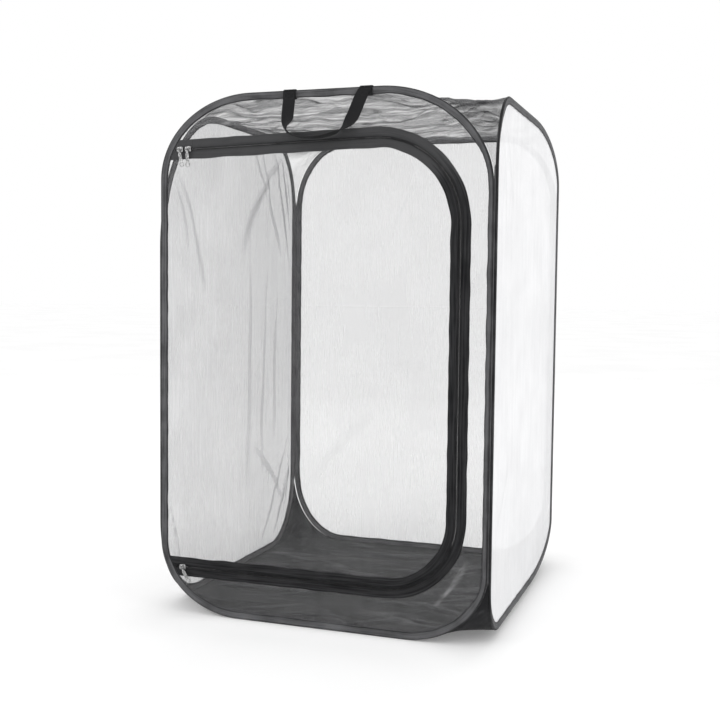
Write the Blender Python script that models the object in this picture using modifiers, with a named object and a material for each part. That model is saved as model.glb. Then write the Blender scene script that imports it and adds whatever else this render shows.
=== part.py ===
"""Pop-up insect cage: four sprung net walls, a net top, a cloth floor and a zipped front door.

Each wall is a loop of spring wire in a folded fabric sleeve, with a net sewn into the
sleeve's lips.  Neighbouring walls meet along their straight upright edges, where the cage
racks flat.  The net top and the cloth floor run up between the hoops at the eight corners.
The door is a D cut from the front net, held shut by a zip with three sliders, and a webbing
strap hangs from the top of the front hoop.

Metres, +Z up.  The front wall faces -Y.  The origin lies on the floor, midway between the
four upright fold lines.
"""

import math

import bmesh
import bpy
import numpy as np

# Overall sizes
WIDTH = 0.600
DEPTH = 0.600
HEIGHT = 0.900

# Clearances
FIT_GAP = 0.00025
SEAM_GAP = 0.0003
FOLD_GAP = 0.0003

# Hoop wire, its crimped ferrule and the sleeve round them
WIRE_DIAMETER = 0.0020
WIRE_ENDS_GAP = 0.0010
FERRULE_WALL = 0.0004
FERRULE_LENGTH = 0.024
SLEEVE_TAPE = 0.0006
SLEEVE_DEPTH = 0.013
SLEEVE_LIP_RUN = 0.0030
NET_THICKNESS = 0.0005

# Corner sizes of each hoop, across and up, seen from outside the wall
FRONT_CORNERS = {
    "top_right": (0.190, 0.165),
    "top_left": (0.170, 0.142),
    "bottom_left": (0.150, 0.130),
    "bottom_right": (0.140, 0.120),
}
RIGHT_CORNERS = {
    "top_right": (0.270, 0.104),
    "top_left": (0.090, 0.119),
    "bottom_left": (0.070, 0.083),
    "bottom_right": (0.235, 0.080),
    "crown_drop": 0.0110,
    "foot_rise": 0.0120,
}
REAR_CORNERS = {
    "top_right": (0.120, 0.150),
    "top_left": (0.120, 0.150),
    "bottom_left": (0.120, 0.150),
    "bottom_right": (0.120, 0.150),
}
LEFT_CORNERS = {
    "top_right": (0.220, 0.260),
    "top_left": (0.120, 0.150),
    "bottom_left": (0.120, 0.150),
    "bottom_right": (0.140, 0.160),
}
CORNER_STEPS = 8

# Top net and floor cloth
TOP_THICKNESS = 0.0006
TOP_SAG = 0.030
TOP_FOLD_HEIGHT = 0.0055
TOP_FOLD_PITCH = 0.118
TOP_FOLD_DRIFT = 0.047
FLOOR_THICKNESS = 0.0008
TOP_MID_STEPS = 8
FLOOR_MID_STEPS = 2

# Zip: its centre line on the front wall, its tapes and its coils
ZIP_TOP_LEFT_DROP = 0.0920
ZIP_TOP_RIGHT_DROP = 0.0780
ZIP_BOTTOM_RISE = 0.0820
ZIP_RIGHT_INSET = 0.0522
ZIP_TOP_RADIUS = 0.142
ZIP_BOTTOM_RADIUS = 0.120
ZIP_TAPE_WIDTH = 0.0162
ZIP_TAPE_THICKNESS = 0.0006
ZIP_SPLIT = 0.0010
COIL_DIAMETER = 0.0024
NET_TO_ZIP = 0.0070
ZIP_END_BRIDGE = 0.0020
COIL_END_MARGIN = 0.0015

# Sliders and their pulls
SLIDER_LENGTH = 0.0120
SLIDER_WIDTH = 0.0100
SLIDER_PLATE = 0.0010
SLIDER_FLANGE = 0.0008
SLIDER_POST = 0.0004
SLIDER_POST_LENGTH = 0.0030
BAIL_WIRE = 0.0012
BAIL_SPAN = 0.0080
BAIL_RISE = 0.0024
LEFT_SLIDER_INSET = 0.0387
RIGHT_SLIDER_INSET = 0.0542
LOWER_SLIDER_INSET = 0.0440
PARKED_MARGIN = 0.0015
PULL_LENGTH = 0.0310
PULL_THICKNESS = 0.0010
PULL_WIDTH = 0.0062
PULL_NECK_WIDTH = 0.0026
PULL_NECK_LENGTH = 0.0050
PULL_RING_DIAMETER = 0.0092
PULL_RING_HOLE = 0.0052
PULL_EYE_GAP = 0.0007
PULL_EYE_WIRE = 0.0009
LEFT_PULL_TILT = math.radians(12)
RIGHT_PULL_TILT = math.radians(3)
LOWER_PULL_TILT = math.radians(30)

# Carry strap and the two wraps that hold it to the hoop
STRAP_WIDTH = 0.0220
STRAP_THICKNESS = 0.0014
WRAP_THICKNESS = 0.0012
WRAP_FRONT_DROP = 0.0160
WRAP_BACK_DROP = 0.0145
LEFT_WRAP_X = -0.0520
RIGHT_WRAP_X = 0.0820
STRAP_TOP_DROP = 0.0025
STRAP_LOW_DROP = 0.0800
STRAP_LOW_X = 0.0060
STRAP_STEPS = 26


# Sizes that follow from those above
FERRULE_RADIUS = WIRE_DIAMETER / 2 + FIT_GAP + FERRULE_WALL
SLEEVE_HALF = FERRULE_RADIUS + FIT_GAP + SLEEVE_TAPE
SLEEVE_THICKNESS = 2 * SLEEVE_HALF
WIRE_INSET = SLEEVE_TAPE + FIT_GAP + FERRULE_RADIUS
LIP_START = WIRE_INSET + FERRULE_RADIUS + FIT_GAP
LIP_INNER = NET_THICKNESS / 2 + SEAM_GAP
NET_INSET = LIP_START + 2 * FIT_GAP
FOLD_X = WIDTH / 2 - SLEEVE_THICKNESS - FOLD_GAP / 2
FOLD_Y = DEPTH / 2 - SLEEVE_THICKNESS - FOLD_GAP / 2
FRONT_SPAN = 2 * FOLD_X - FOLD_GAP
SIDE_SPAN = 2 * FOLD_Y - FOLD_GAP
LEFT_SLIDER_X = LEFT_SLIDER_INSET - FRONT_SPAN / 2
RIGHT_SLIDER_X = RIGHT_SLIDER_INSET - FRONT_SPAN / 2
LOWER_SLIDER_X = LOWER_SLIDER_INSET - FRONT_SPAN / 2
FRONT_PLANE = -FOLD_Y - FOLD_GAP / 2 - SLEEVE_HALF
DOOR_INSET = SLEEVE_DEPTH + SEAM_GAP
DOOR_HINGE_RISE = LIP_INNER + SLEEVE_TAPE + SEAM_GAP
TAPE_BACK = NET_THICKNESS / 2 + SEAM_GAP
TAPE_FACE = TAPE_BACK + ZIP_TAPE_THICKNESS
COIL_AXIS = TAPE_FACE + SEAM_GAP + COIL_DIAMETER / 2
COIL_FACE = COIL_AXIS + COIL_DIAMETER / 2
COIL_OFFSET = ZIP_SPLIT / 2 + COIL_DIAMETER / 2
TAPE_EDGE = ZIP_SPLIT / 2 + ZIP_TAPE_WIDTH
SLIDER_FACE = COIL_FACE + SEAM_GAP + SLIDER_PLATE
BAIL_AXIS = SLIDER_FACE + BAIL_RISE


def clear_scene():
    """Remove every object that the scene starts with."""
    for obj in list(bpy.data.objects):
        bpy.data.objects.remove(obj, do_unlink=True)


def new_collection(name):
    made = bpy.data.collections.new(name)
    bpy.context.scene.collection.children.link(made)
    return made


def new_material(name, colour, roughness, metallic=0.0):
    made = bpy.data.materials.new(name)
    made.use_nodes = True
    shader = made.node_tree.nodes["Principled BSDF"]
    shader.inputs["Base Color"].default_value = (*colour, 1.0)
    shader.inputs["Roughness"].default_value = roughness
    shader.inputs["Metallic"].default_value = metallic
    return made


def new_pivot(collection, name, place, parent=None):
    """An empty on a joint's axis, or at a wall's foot, that carries the pieces of one body."""
    pivot = bpy.data.objects.new(name, None)
    pivot.empty_display_size = SLEEVE_DEPTH
    collection.objects.link(pivot)
    hang(pivot, place, parent)
    return pivot


def hang(obj, place, parent):
    """Put an object at a world place under an unturned parent."""
    start = np.zeros(3)
    if parent is not None:
        obj.parent = parent
        start = world_place(parent)
    obj.location = np.array(place) - start


def world_place(obj):
    """World place of an object whose parents are all unturned."""
    place = np.array(obj.location)
    while obj.parent is not None:
        obj = obj.parent
        place = place + np.array(obj.location)
    return place


def add_object(collection, name, data, material=None):
    obj = bpy.data.objects.new(name, data)
    collection.objects.link(obj)
    if material is not None:
        data.materials.append(material)
    return obj


def poly_spline(curve, points, cyclic):
    """Add a straight-sided spline through rows of two or three coordinates."""
    points = np.asarray(points, dtype=float)
    flat = np.zeros((len(points), 4))
    flat[:, : points.shape[1]] = points
    flat[:, 3] = 1.0
    spline = curve.splines.new("POLY")
    spline.points.add(len(points) - 1)
    spline.points.foreach_set("co", flat.ravel())
    spline.use_cyclic_u = cyclic


def flat_curve(name, outlines, thickness):
    """A flat sheet: closed outlines filled on both faces, holes left open."""
    curve = bpy.data.curves.new(name, "CURVE")
    curve.dimensions = "2D"
    curve.fill_mode = "BOTH"
    curve.extrude = thickness / 2
    for outline in outlines:
        poly_spline(curve, outline, True)
    return curve


def tube_curve(name, points, radius):
    """A round wire of six sides with filled ends."""
    curve = bpy.data.curves.new(name, "CURVE")
    curve.dimensions = "3D"
    curve.bevel_depth = radius
    curve.bevel_resolution = 1
    curve.use_fill_caps = True
    poly_spline(curve, points, False)
    return curve


def box_mesh(name, low, high):
    """A box between two corners, made from a unit cube."""
    low = np.array(low)
    high = np.array(high)
    box = bmesh.new()
    bmesh.ops.create_cube(box, size=1.0)
    bmesh.ops.scale(box, vec=high - low, verts=box.verts)
    bmesh.ops.translate(box, vec=(low + high) / 2, verts=box.verts)
    mesh = bpy.data.meshes.new(name)
    box.to_mesh(mesh)
    box.free()
    return mesh


def evaluated_mesh(obj, name):
    """The object's finished mesh in its own axes, with loose caps and seams welded."""
    bpy.context.view_layer.update()
    depsgraph = bpy.context.evaluated_depsgraph_get()
    mesh = bpy.data.meshes.new_from_object(obj.evaluated_get(depsgraph))
    mesh.name = name
    welded = bmesh.new()
    welded.from_mesh(mesh)
    bmesh.ops.remove_doubles(welded, verts=welded.verts, dist=FIT_GAP / 100)
    bmesh.ops.recalc_face_normals(welded, faces=welded.faces)
    welded.to_mesh(mesh)
    welded.free()
    return mesh


def curve_as_mesh(collection, name, curve, turn=None):
    """A curve turned into a mesh object, so that it can be joined to another."""
    holder = add_object(collection, name + "_curve", curve)
    mesh = evaluated_mesh(holder, name)
    bpy.data.objects.remove(holder, do_unlink=True)
    if turn is not None:
        mesh.transform(turn)
    return add_object(collection, name, mesh)


def joined_mesh(name, first, others):
    """One mesh from overlapping bodies, through a chain of unions; the bodies are removed."""
    for other in others:
        union = first.modifiers.new("join_" + other.name, "BOOLEAN")
        union.operation = "UNION"
        union.object = other
    mesh = evaluated_mesh(first, name)
    for obj in (first, *others):
        bpy.data.objects.remove(obj, do_unlink=True)
    return mesh


def smooth_round(obj):
    obj.data.shade_smooth()
    obj.data.set_sharp_from_angle(angle=math.radians(35))


# Hoop outlines
def corner_arc(centre, radii, inset, start, stop):
    """Points of an elliptical corner, moved in by a distance square to the ellipse."""
    angle = np.radians(np.linspace(start, stop, CORNER_STEPS + 1))
    across, up = radii
    point = np.stack([across * np.cos(angle), up * np.sin(angle)], axis=1)
    normal = np.stack([np.cos(angle) / across, np.sin(angle) / up], axis=1)
    normal /= np.linalg.norm(normal, axis=1, keepdims=True)
    return np.array(centre) + point - inset * normal


def hoop_ends(corners):
    """How high a hoop's foot and its crown are: the pulled wire of one hoop is shorter."""
    return corners.get("foot_rise", 0.0), HEIGHT - corners.get("crown_drop", 0.0)


def hoop_outline(span, corners, inset):
    """The hoop's closed outline, clockwise from its foot, seen from outside the wall."""
    half = span / 2
    legs = (
        ("bottom_left", -1, -1, 270, 180),
        ("top_left", -1, 1, 180, 90),
        ("top_right", 1, 1, 90, 0),
        ("bottom_right", 1, -1, 0, -90),
    )
    foot, crown = hoop_ends(corners)
    arcs = []
    for name, side, rise, start, stop in legs:
        across, up = corners[name]
        centre = crown - up if rise > 0 else foot + up
        arcs.append(corner_arc((side * (half - across), centre), (across, up), inset, start, stop))
    return np.concatenate(arcs)


def wire_run(span, corners):
    """The wire's line: round the hoop from the middle of the foot and back to it."""
    loop = hoop_outline(span, corners, WIRE_INSET)
    level = hoop_ends(corners)[0] + WIRE_INSET
    start = np.array([-WIRE_ENDS_GAP / 2, level])
    end = np.array([WIRE_ENDS_GAP / 2, level])
    return np.concatenate([[start], loop, [end]])


def sleeve_section():
    """The folded sleeve's section: a deep U round the wire whose lips close on the net."""
    outer = (
        (0.0, SLEEVE_HALF),
        (LIP_START, SLEEVE_HALF),
        (LIP_START + SLEEVE_LIP_RUN, LIP_INNER + SLEEVE_TAPE),
        (SLEEVE_DEPTH, LIP_INNER + SLEEVE_TAPE),
    )
    inner = (
        (SLEEVE_DEPTH, LIP_INNER),
        (LIP_START + SLEEVE_LIP_RUN, LIP_INNER),
        (LIP_START, SLEEVE_HALF - SLEEVE_TAPE),
        (SLEEVE_TAPE, SLEEVE_HALF - SLEEVE_TAPE),
    )
    near_side = np.array(outer + inner)
    far_side = near_side[::-1] * np.array([1, -1])
    return np.concatenate([near_side, far_side])


# Walls
class Wall:
    """One wall: where it stands, how it is turned and what its hoop measures."""

    def __init__(self, name, span, corners, foot, turn, pivot):
        self.name = name
        self.span = span
        self.corners = corners
        self.foot = foot
        self.turn = turn
        self.pivot = pivot

    def stand(self, obj):
        """Stand a flat piece up in the wall: its Y becomes up and its Z points outwards."""
        hang(obj, self.foot, self.pivot)
        obj.rotation_euler = (math.pi / 2, 0.0, self.turn)
        return obj


def build_sleeve(parts, wall, section, material):
    path = bpy.data.curves.new(wall.name + "_sleeve", "CURVE")
    path.dimensions = "2D"
    path.fill_mode = "NONE"
    path.bevel_mode = "OBJECT"
    path.bevel_object = section
    poly_spline(path, hoop_outline(wall.span, wall.corners, 0.0), True)
    return wall.stand(add_object(parts, wall.name + "_sleeve", path, material))


def build_wire(parts, wall, material):
    line = wire_run(wall.span, wall.corners)
    curve = tube_curve(wall.name + "_hoop_wire", line, WIRE_DIAMETER / 2)
    return wall.stand(add_object(parts, curve.name, curve, material))


def build_ferrule(parts, wall, material):
    """A crimped tube over the two ends of the wire, turned from its wall's section."""
    bore = FERRULE_RADIUS - FERRULE_WALL
    half = FERRULE_LENGTH / 2
    mesh = bpy.data.meshes.new(wall.name + "_wire_ferrule")
    corners = (
        (FERRULE_RADIUS, 0.0, half),
        (FERRULE_RADIUS, 0.0, -half),
        (bore, 0.0, -half),
        (bore, 0.0, half),
    )
    mesh.from_pydata(corners, [(0, 1), (1, 2), (2, 3), (3, 0)], [])
    obj = add_object(parts, mesh.name, mesh, material)
    screw = obj.modifiers.new("turn", "SCREW")
    screw.steps = 12
    screw.render_steps = 12
    screw.use_merge_vertices = True
    screw.merge_threshold = 0.00001
    level = hoop_ends(wall.corners)[0] + WIRE_INSET
    hang(obj, wall.foot + np.array([0.0, 0.0, level]), wall.pivot)
    obj.rotation_euler = (0.0, math.pi / 2, wall.turn)
    return obj


def build_net(parts, wall, outline, name, material):
    curve = flat_curve(name, [outline], NET_THICKNESS)
    return wall.stand(add_object(parts, name, curve, material))


# Zip line on the front wall
def zip_frame():
    """The zip's three straight runs: corner points, directions and outward normals."""
    right = FRONT_SPAN / 2 - ZIP_RIGHT_INSET
    left = -FRONT_SPAN / 2
    points = np.array([
        [left, HEIGHT - ZIP_TOP_LEFT_DROP],
        [right, HEIGHT - ZIP_TOP_RIGHT_DROP],
        [right, ZIP_BOTTOM_RISE],
        [left, ZIP_BOTTOM_RISE],
    ])
    runs = np.diff(points, axis=0)
    runs /= np.linalg.norm(runs, axis=1, keepdims=True)
    normals = np.stack([-runs[:, 1], runs[:, 0]], axis=1)
    return points, runs, normals


def zip_run_point(run, x, offset):
    """The point of a level run at x, moved outwards from the door by an offset."""
    points, runs, normals = zip_frame()
    along = (x - points[run, 0]) / runs[run, 0]
    base = points[run] + along * runs[run]
    return base + offset * normals[run]


def zip_fillet(corner, radius, offset):
    """The rounded corner between two runs, moved outwards from the door by an offset."""
    points, runs, normals = zip_frame()
    before = normals[corner - 1]
    after = normals[corner]
    turn = math.acos(float(np.clip(runs[corner - 1] @ runs[corner], -1.0, 1.0)))
    reach = radius * math.tan(turn / 2)
    centre = points[corner] - reach * runs[corner - 1] - radius * before
    start = math.atan2(before[1], before[0])
    angle = start - np.linspace(0.0, turn, CORNER_STEPS + 1)
    ring = np.stack([np.cos(angle), np.sin(angle)], axis=1)
    ring[-1] = after
    return centre + (radius + offset) * ring


def zip_line(offset, top_x, bottom_x):
    """A line beside the zip, from its upper end round both corners to its lower end."""
    start = zip_run_point(0, top_x, offset)
    end = zip_run_point(2, bottom_x, offset)
    upper = zip_fillet(1, ZIP_TOP_RADIUS, offset)
    lower = zip_fillet(2, ZIP_BOTTOM_RADIUS, offset)
    return np.concatenate([[start], upper, lower, [end]])


def left_edge(inset):
    """The left side of the front hoop, moved in by an inset, from its foot up."""
    return hoop_outline(FRONT_SPAN, FRONT_CORNERS, inset)[: 2 * (CORNER_STEPS + 1)]


def left_edge_at(height, inset):
    """How far across the front hoop's left side lies at a height."""
    edge = left_edge(inset)
    return float(np.interp(height, edge[:, 1], edge[:, 0]))


def zip_end(run, offset, inset):
    """Where a line beside the zip meets the front hoop's left side."""
    x = -FRONT_SPAN / 2
    for _ in range(CORNER_STEPS):
        spot = zip_run_point(run, x, offset)
        x += left_edge_at(spot[1], inset) - float(spot[0])
    return x


def front_net_outline():
    """The front net round the door: the sleeve's line outside, the zip's line inside."""
    top_x = zip_end(0, NET_TO_ZIP, NET_INSET)
    bottom_x = zip_end(2, NET_TO_ZIP, NET_INSET)
    inner = zip_line(NET_TO_ZIP, top_x, bottom_x)
    outer = np.roll(hoop_outline(FRONT_SPAN, FRONT_CORNERS, NET_INSET), -(CORNER_STEPS + 1), axis=0)
    beside_door = (outer[:, 0] < 0) & (outer[:, 1] < inner[0, 1]) & (outer[:, 1] > inner[-1, 1])
    return np.concatenate([outer[~beside_door], inner[::-1]])


def parked_end(x):
    """Where the parked stretch of the zip ends, past the slider that stands at x."""
    return x + SLIDER_LENGTH / 2 + PARKED_MARGIN


def door_net_outline():
    """The door: the zip's line on three sides and the sleeve's inner edge on the fourth."""
    top_x = zip_end(0, -NET_TO_ZIP, DOOR_INSET)
    bottom_x = zip_end(2, -NET_TO_ZIP, DOOR_INSET)
    rim = zip_line(-NET_TO_ZIP, top_x, bottom_x)
    hinge = left_edge(DOOR_INSET)
    beside_door = (hinge[:, 1] < rim[0, 1]) & (hinge[:, 1] > rim[-1, 1])
    return np.concatenate([rim, hinge[beside_door]])


def frame_tape_outline():
    """The tape sewn to the front net, between the two parked ends."""
    top_x = parked_end(RIGHT_SLIDER_X) + SEAM_GAP
    bottom_x = parked_end(LOWER_SLIDER_X) + SEAM_GAP
    outer = zip_line(TAPE_EDGE, top_x, bottom_x)
    inner = zip_line(ZIP_SPLIT / 2, top_x, bottom_x)
    return np.concatenate([outer, inner[::-1]])


def parked_tab(run, reach):
    """The closed end of the zip: both tapes past the slider, joined beyond the split."""
    split = ZIP_SPLIT / 2
    outer_end = zip_end(run, TAPE_EDGE, DOOR_INSET)
    inner_end = zip_end(run, -TAPE_EDGE, DOOR_INSET)
    bridge = (outer_end + inner_end) / 2 + ZIP_END_BRIDGE
    return np.array([
        zip_run_point(run, bridge, -split),
        zip_run_point(run, bridge, split),
        zip_run_point(run, reach, split),
        zip_run_point(run, reach, TAPE_EDGE),
        zip_run_point(run, outer_end, TAPE_EDGE),
        zip_run_point(run, inner_end, -TAPE_EDGE),
    ])


def door_tape_outline():
    """The tape sewn to the door, with both parked ends of the zip in one piece with it."""
    top = parked_tab(0, parked_end(RIGHT_SLIDER_X))
    bottom = parked_tab(2, parked_end(LOWER_SLIDER_X))
    split_line = zip_line(-ZIP_SPLIT / 2, top[0, 0], bottom[0, 0])
    edge_line = zip_line(-TAPE_EDGE, top[-1, 0], bottom[-1, 0])
    return np.concatenate([split_line, bottom[1:], edge_line[::-1][1:-1], top[:0:-1]])


def lifted(line, height):
    """A flat line as points in space, at a height off the wall's middle plane."""
    return np.column_stack([line, np.full(len(line), height)])


def coil_ends(run, slider_x):
    """Both ends of a parked stretch of coil, clear of the sleeve and of the running coil."""
    start = zip_end(run, COIL_OFFSET + COIL_DIAMETER / 2, DOOR_INSET) + COIL_END_MARGIN
    return start, parked_end(slider_x)


def build_coil(parts, wall, name, line, material):
    curve = tube_curve(name, lifted(line, COIL_AXIS), COIL_DIAMETER / 2)
    return wall.stand(add_object(parts, name, curve, material))


# Sliders and pulls
def slider_mesh(guides):
    """A slider: two plates round both coils, a thin post between them and a wire bail."""
    half_length = SLIDER_LENGTH / 2
    half_width = SLIDER_WIDTH / 2
    plate_base = COIL_FACE + SEAM_GAP
    back_face = TAPE_BACK - SEAM_GAP
    back_plate = back_face - SLIDER_PLATE
    post = SLIDER_POST / 2
    flange_foot = TAPE_FACE + SEAM_GAP
    bodies = {
        "slider_top": ((-half_length, -half_width, plate_base), (half_length, half_width, SLIDER_FACE)),
        "slider_back": ((-half_length, -half_width, back_plate), (half_length, half_width, back_face)),
        "slider_post": (
            (half_length - SLIDER_POST_LENGTH, -post, back_face - SLIDER_PLATE / 2),
            (half_length, post, plate_base + SLIDER_PLATE / 2),
        ),
        "slider_upper_flange": (
            (-half_length, half_width - SLIDER_FLANGE, flange_foot),
            (half_length, half_width, SLIDER_FACE),
        ),
        "slider_lower_flange": (
            (-half_length, -half_width, flange_foot),
            (half_length, SLIDER_FLANGE - half_width, SLIDER_FACE),
        ),
    }
    solids = [add_object(guides, name, box_mesh(name, *box)) for name, box in bodies.items()]
    foot = SLIDER_FACE - SLIDER_PLATE / 2
    span = BAIL_SPAN / 2
    arch = (
        (-span, 0.0, foot),
        (-span, 0.0, BAIL_AXIS - BAIL_WIRE / 2),
        (-span + BAIL_WIRE / 2, 0.0, BAIL_AXIS),
        (span - BAIL_WIRE / 2, 0.0, BAIL_AXIS),
        (span, 0.0, BAIL_AXIS - BAIL_WIRE / 2),
        (span, 0.0, foot),
    )
    bail = curve_as_mesh(guides, "slider_bail", tube_curve("slider_bail", arch, BAIL_WIRE / 2))
    return joined_mesh("slider", solids[0], [*solids[1:], bail])


def ring_points(centre_y, diameter, angle):
    """Points at some angles on a circle that is centred on the pull's long axis."""
    ring = np.stack([np.cos(angle), np.sin(angle)], axis=1) * diameter / 2
    return ring + np.array([0.0, centre_y])


def pull_mesh(guides):
    """A pull: a flat tab with a ring at its foot, hung by a wire eye round the bail."""
    eye_radius = BAIL_WIRE / 2 + PULL_EYE_GAP + PULL_EYE_WIRE / 2
    ring_y = PULL_RING_DIAMETER / 2 - PULL_LENGTH
    neck_top = -eye_radius
    neck_foot = neck_top - PULL_NECK_LENGTH
    neck = PULL_NECK_WIDTH / 2
    body = PULL_WIDTH / 2
    meeting = math.acos(PULL_WIDTH / PULL_RING_DIAMETER)
    rim = ring_points(ring_y, PULL_RING_DIAMETER, np.linspace(meeting, -math.pi - meeting, 13))
    sides = np.array([[-body, neck_foot], [-neck, neck_top], [neck, neck_top], [body, neck_foot]])
    outline = np.concatenate([rim, sides])
    hole = ring_points(ring_y, PULL_RING_HOLE, np.linspace(0.0, 2 * math.pi, 10, endpoint=False))
    tab = curve_as_mesh(guides, "pull_tab", flat_curve("pull_tab", [outline, hole], PULL_THICKNESS))
    bpy.ops.mesh.primitive_torus_add(
        major_radius=eye_radius,
        minor_radius=PULL_EYE_WIRE / 2,
        major_segments=12,
        minor_segments=6,
        rotation=(0.0, math.pi / 2, 0.0),
    )
    eye = bpy.context.active_object
    eye.name = "pull_eye"
    return joined_mesh("pull", tab, [eye])


def build_slider_set(parts, door, meshes, spec):
    """One slider on its run with its pull, each under an empty on its joint's axis."""
    name, run, x, tilt = spec
    slider_data, pull_data = meshes
    spot = zip_run_point(run, x, 0.0)
    direction = zip_frame()[1][run]
    slope = math.atan(direction[1] / direction[0])
    centre = np.array([spot[0], FRONT_PLANE, spot[1]])
    slider_pivot = new_pivot(parts, name + "_slider_run", centre, door)
    slider = add_object(parts, name + "_slider", slider_data)
    hang(slider, centre, slider_pivot)
    slider.rotation_euler = (math.pi / 2, -slope, 0.0)
    bail = centre - np.array([0.0, BAIL_AXIS, 0.0])
    pull_pivot = new_pivot(parts, name + "_pull_hinge", bail, slider_pivot)
    pull = add_object(parts, name + "_pull", pull_data)
    hang(pull, bail, pull_pivot)
    pull.rotation_euler = (math.pi / 2, -tilt, 0.0)


# Carry strap
def strap_line():
    """The strap's middle line, its width and its side directions, as rows.

    Both legs lie flat on the front of the cage.  Between them the strap turns edge on, so its
    width points outwards there, and it stands off the wall by half its width.
    """
    share = np.linspace(0.0, 1.0, STRAP_STEPS)
    top = HEIGHT - STRAP_TOP_DROP
    low = HEIGHT - STRAP_LOW_DROP
    left_leg_share = 0.30
    right_leg_share = 0.42
    knots = np.array([0.0, left_leg_share, 0.5, 1.0 - right_leg_share, 1.0])
    across = np.array([
        LEFT_WRAP_X,
        LEFT_WRAP_X + STRAP_WIDTH / 4,
        STRAP_LOW_X,
        STRAP_LOW_X + STRAP_WIDTH,
        RIGHT_WRAP_X,
    ])
    drop = np.array([top, low + STRAP_WIDTH / 3, low, low + STRAP_WIDTH / 5, top])
    x = smooth_through(knots, across, share)
    z = smooth_through(knots, drop, share)
    rise = np.clip(share / left_leg_share, 0.0, 1.0)
    fall = np.clip((1.0 - share) / right_leg_share, 0.0, 1.0)
    twist = np.minimum(ease(rise * 2.0 - 1.0), ease(fall * 2.0 - 1.0)) * math.pi / 2
    back = -(WRAP_THICKNESS + SEAM_GAP) - SLEEVE_HALF - SEAM_GAP
    lean = (STRAP_WIDTH - STRAP_THICKNESS) / 2 * np.sin(twist)
    out = back - STRAP_THICKNESS / 2 - lean
    middle = np.stack([x, FRONT_PLANE + out, z], axis=1)
    return middle, twist


def ease(value):
    """A smooth step from nought to one."""
    held = np.clip(value, 0.0, 1.0)
    return held * held * (3.0 - 2.0 * held)


def smooth_through(knots, values, share):
    """A smooth curve through a few values: cubic pieces whose slopes follow their neighbours."""
    slopes = np.gradient(values, knots)
    spot = np.clip(np.searchsorted(knots, share, side="right") - 1, 0, len(knots) - 2)
    width = knots[spot + 1] - knots[spot]
    local = (share - knots[spot]) / width
    start = (1 + 2 * local) * (1 - local) ** 2 * values[spot]
    start_slope = local * (1 - local) ** 2 * width * slopes[spot]
    end = local**2 * (3 - 2 * local) * values[spot + 1]
    end_slope = local**2 * (local - 1) * width * slopes[spot + 1]
    return start + start_slope + end + end_slope


def strap_mesh():
    """The strap as a loft of flat sections that turn along its line."""
    middle, twist = strap_line()
    along = np.gradient(middle, axis=0)
    along /= np.linalg.norm(along, axis=1, keepdims=True)
    outward = np.array([0.0, -1.0, 0.0])
    flat_side = np.cross(along, outward)
    flat_side /= np.linalg.norm(flat_side, axis=1, keepdims=True)
    level = np.array([1.0, 0.0, 0.0])
    end_share = np.clip(np.abs(np.linspace(-1.0, 1.0, STRAP_STEPS)) * 4.0 - 3.0, 0.0, 1.0)[:, None]
    sign = np.sign(flat_side @ level)[:, None]
    flat_side = (1 - end_share) * flat_side * sign + end_share * level
    flat_side /= np.linalg.norm(flat_side, axis=1, keepdims=True)
    side = np.cos(twist)[:, None] * flat_side + np.sin(twist)[:, None] * outward
    face = np.cross(along, side)
    face /= np.linalg.norm(face, axis=1, keepdims=True)
    corners = ((-1, -1), (1, -1), (1, 1), (-1, 1))
    rings = [
        middle + side * (STRAP_WIDTH / 2 * across) + face * (STRAP_THICKNESS / 2 * through)
        for across, through in corners
    ]
    points = np.stack(rings, axis=1).reshape(-1, 3)
    faces = []
    for step in range(STRAP_STEPS - 1):
        here = step * 4
        for edge in range(4):
            beside = (edge + 1) % 4
            faces.append((here + edge, here + beside, here + 4 + beside, here + 4 + edge))
    faces.append((3, 2, 1, 0))
    faces.append(tuple(range(4 * STRAP_STEPS - 4, 4 * STRAP_STEPS)))
    mesh = bpy.data.meshes.new("carry_strap")
    mesh.from_pydata(points, [], faces)
    tidy = bmesh.new()
    tidy.from_mesh(mesh)
    bmesh.ops.recalc_face_normals(tidy, faces=tidy.faces)
    tidy.to_mesh(mesh)
    tidy.free()
    return mesh


def wrap_curve(name):
    """A strap end folded over the top of the front sleeve, as an outline across the wall."""
    inner = SLEEVE_HALF + SEAM_GAP
    outer = inner + WRAP_THICKNESS
    under = HEIGHT + SEAM_GAP
    over = under + WRAP_THICKNESS
    outline = np.array([
        (-outer, HEIGHT - WRAP_FRONT_DROP),
        (-inner, HEIGHT - WRAP_FRONT_DROP),
        (-inner, under),
        (inner, under),
        (inner, HEIGHT - WRAP_BACK_DROP),
        (outer, HEIGHT - WRAP_BACK_DROP),
        (outer, over - WRAP_THICKNESS / 2),
        (outer - WRAP_THICKNESS / 2, over),
        (WRAP_THICKNESS / 2 - outer, over),
        (-outer, over - WRAP_THICKNESS / 2),
    ])
    return flat_curve(name, [outline], STRAP_WIDTH)


# Cloths between the hoops
def cloth_corner(name):
    """Radii at one corner of a cloth: across and up on the front or rear hoop, then the side."""
    depth, side, level = name
    tall = "top" if level > 0 else "bottom"
    if depth < 0:
        end_hoop = FRONT_CORNERS[tall + ("_right" if side > 0 else "_left")]
    else:
        end_hoop = REAR_CORNERS[tall + ("_left" if side > 0 else "_right")]
    if side > 0:
        side_hoop = RIGHT_CORNERS[tall + ("_left" if depth < 0 else "_right")]
    else:
        side_hoop = LEFT_CORNERS[tall + ("_right" if depth < 0 else "_left")]
    return end_hoop, side_hoop


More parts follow.
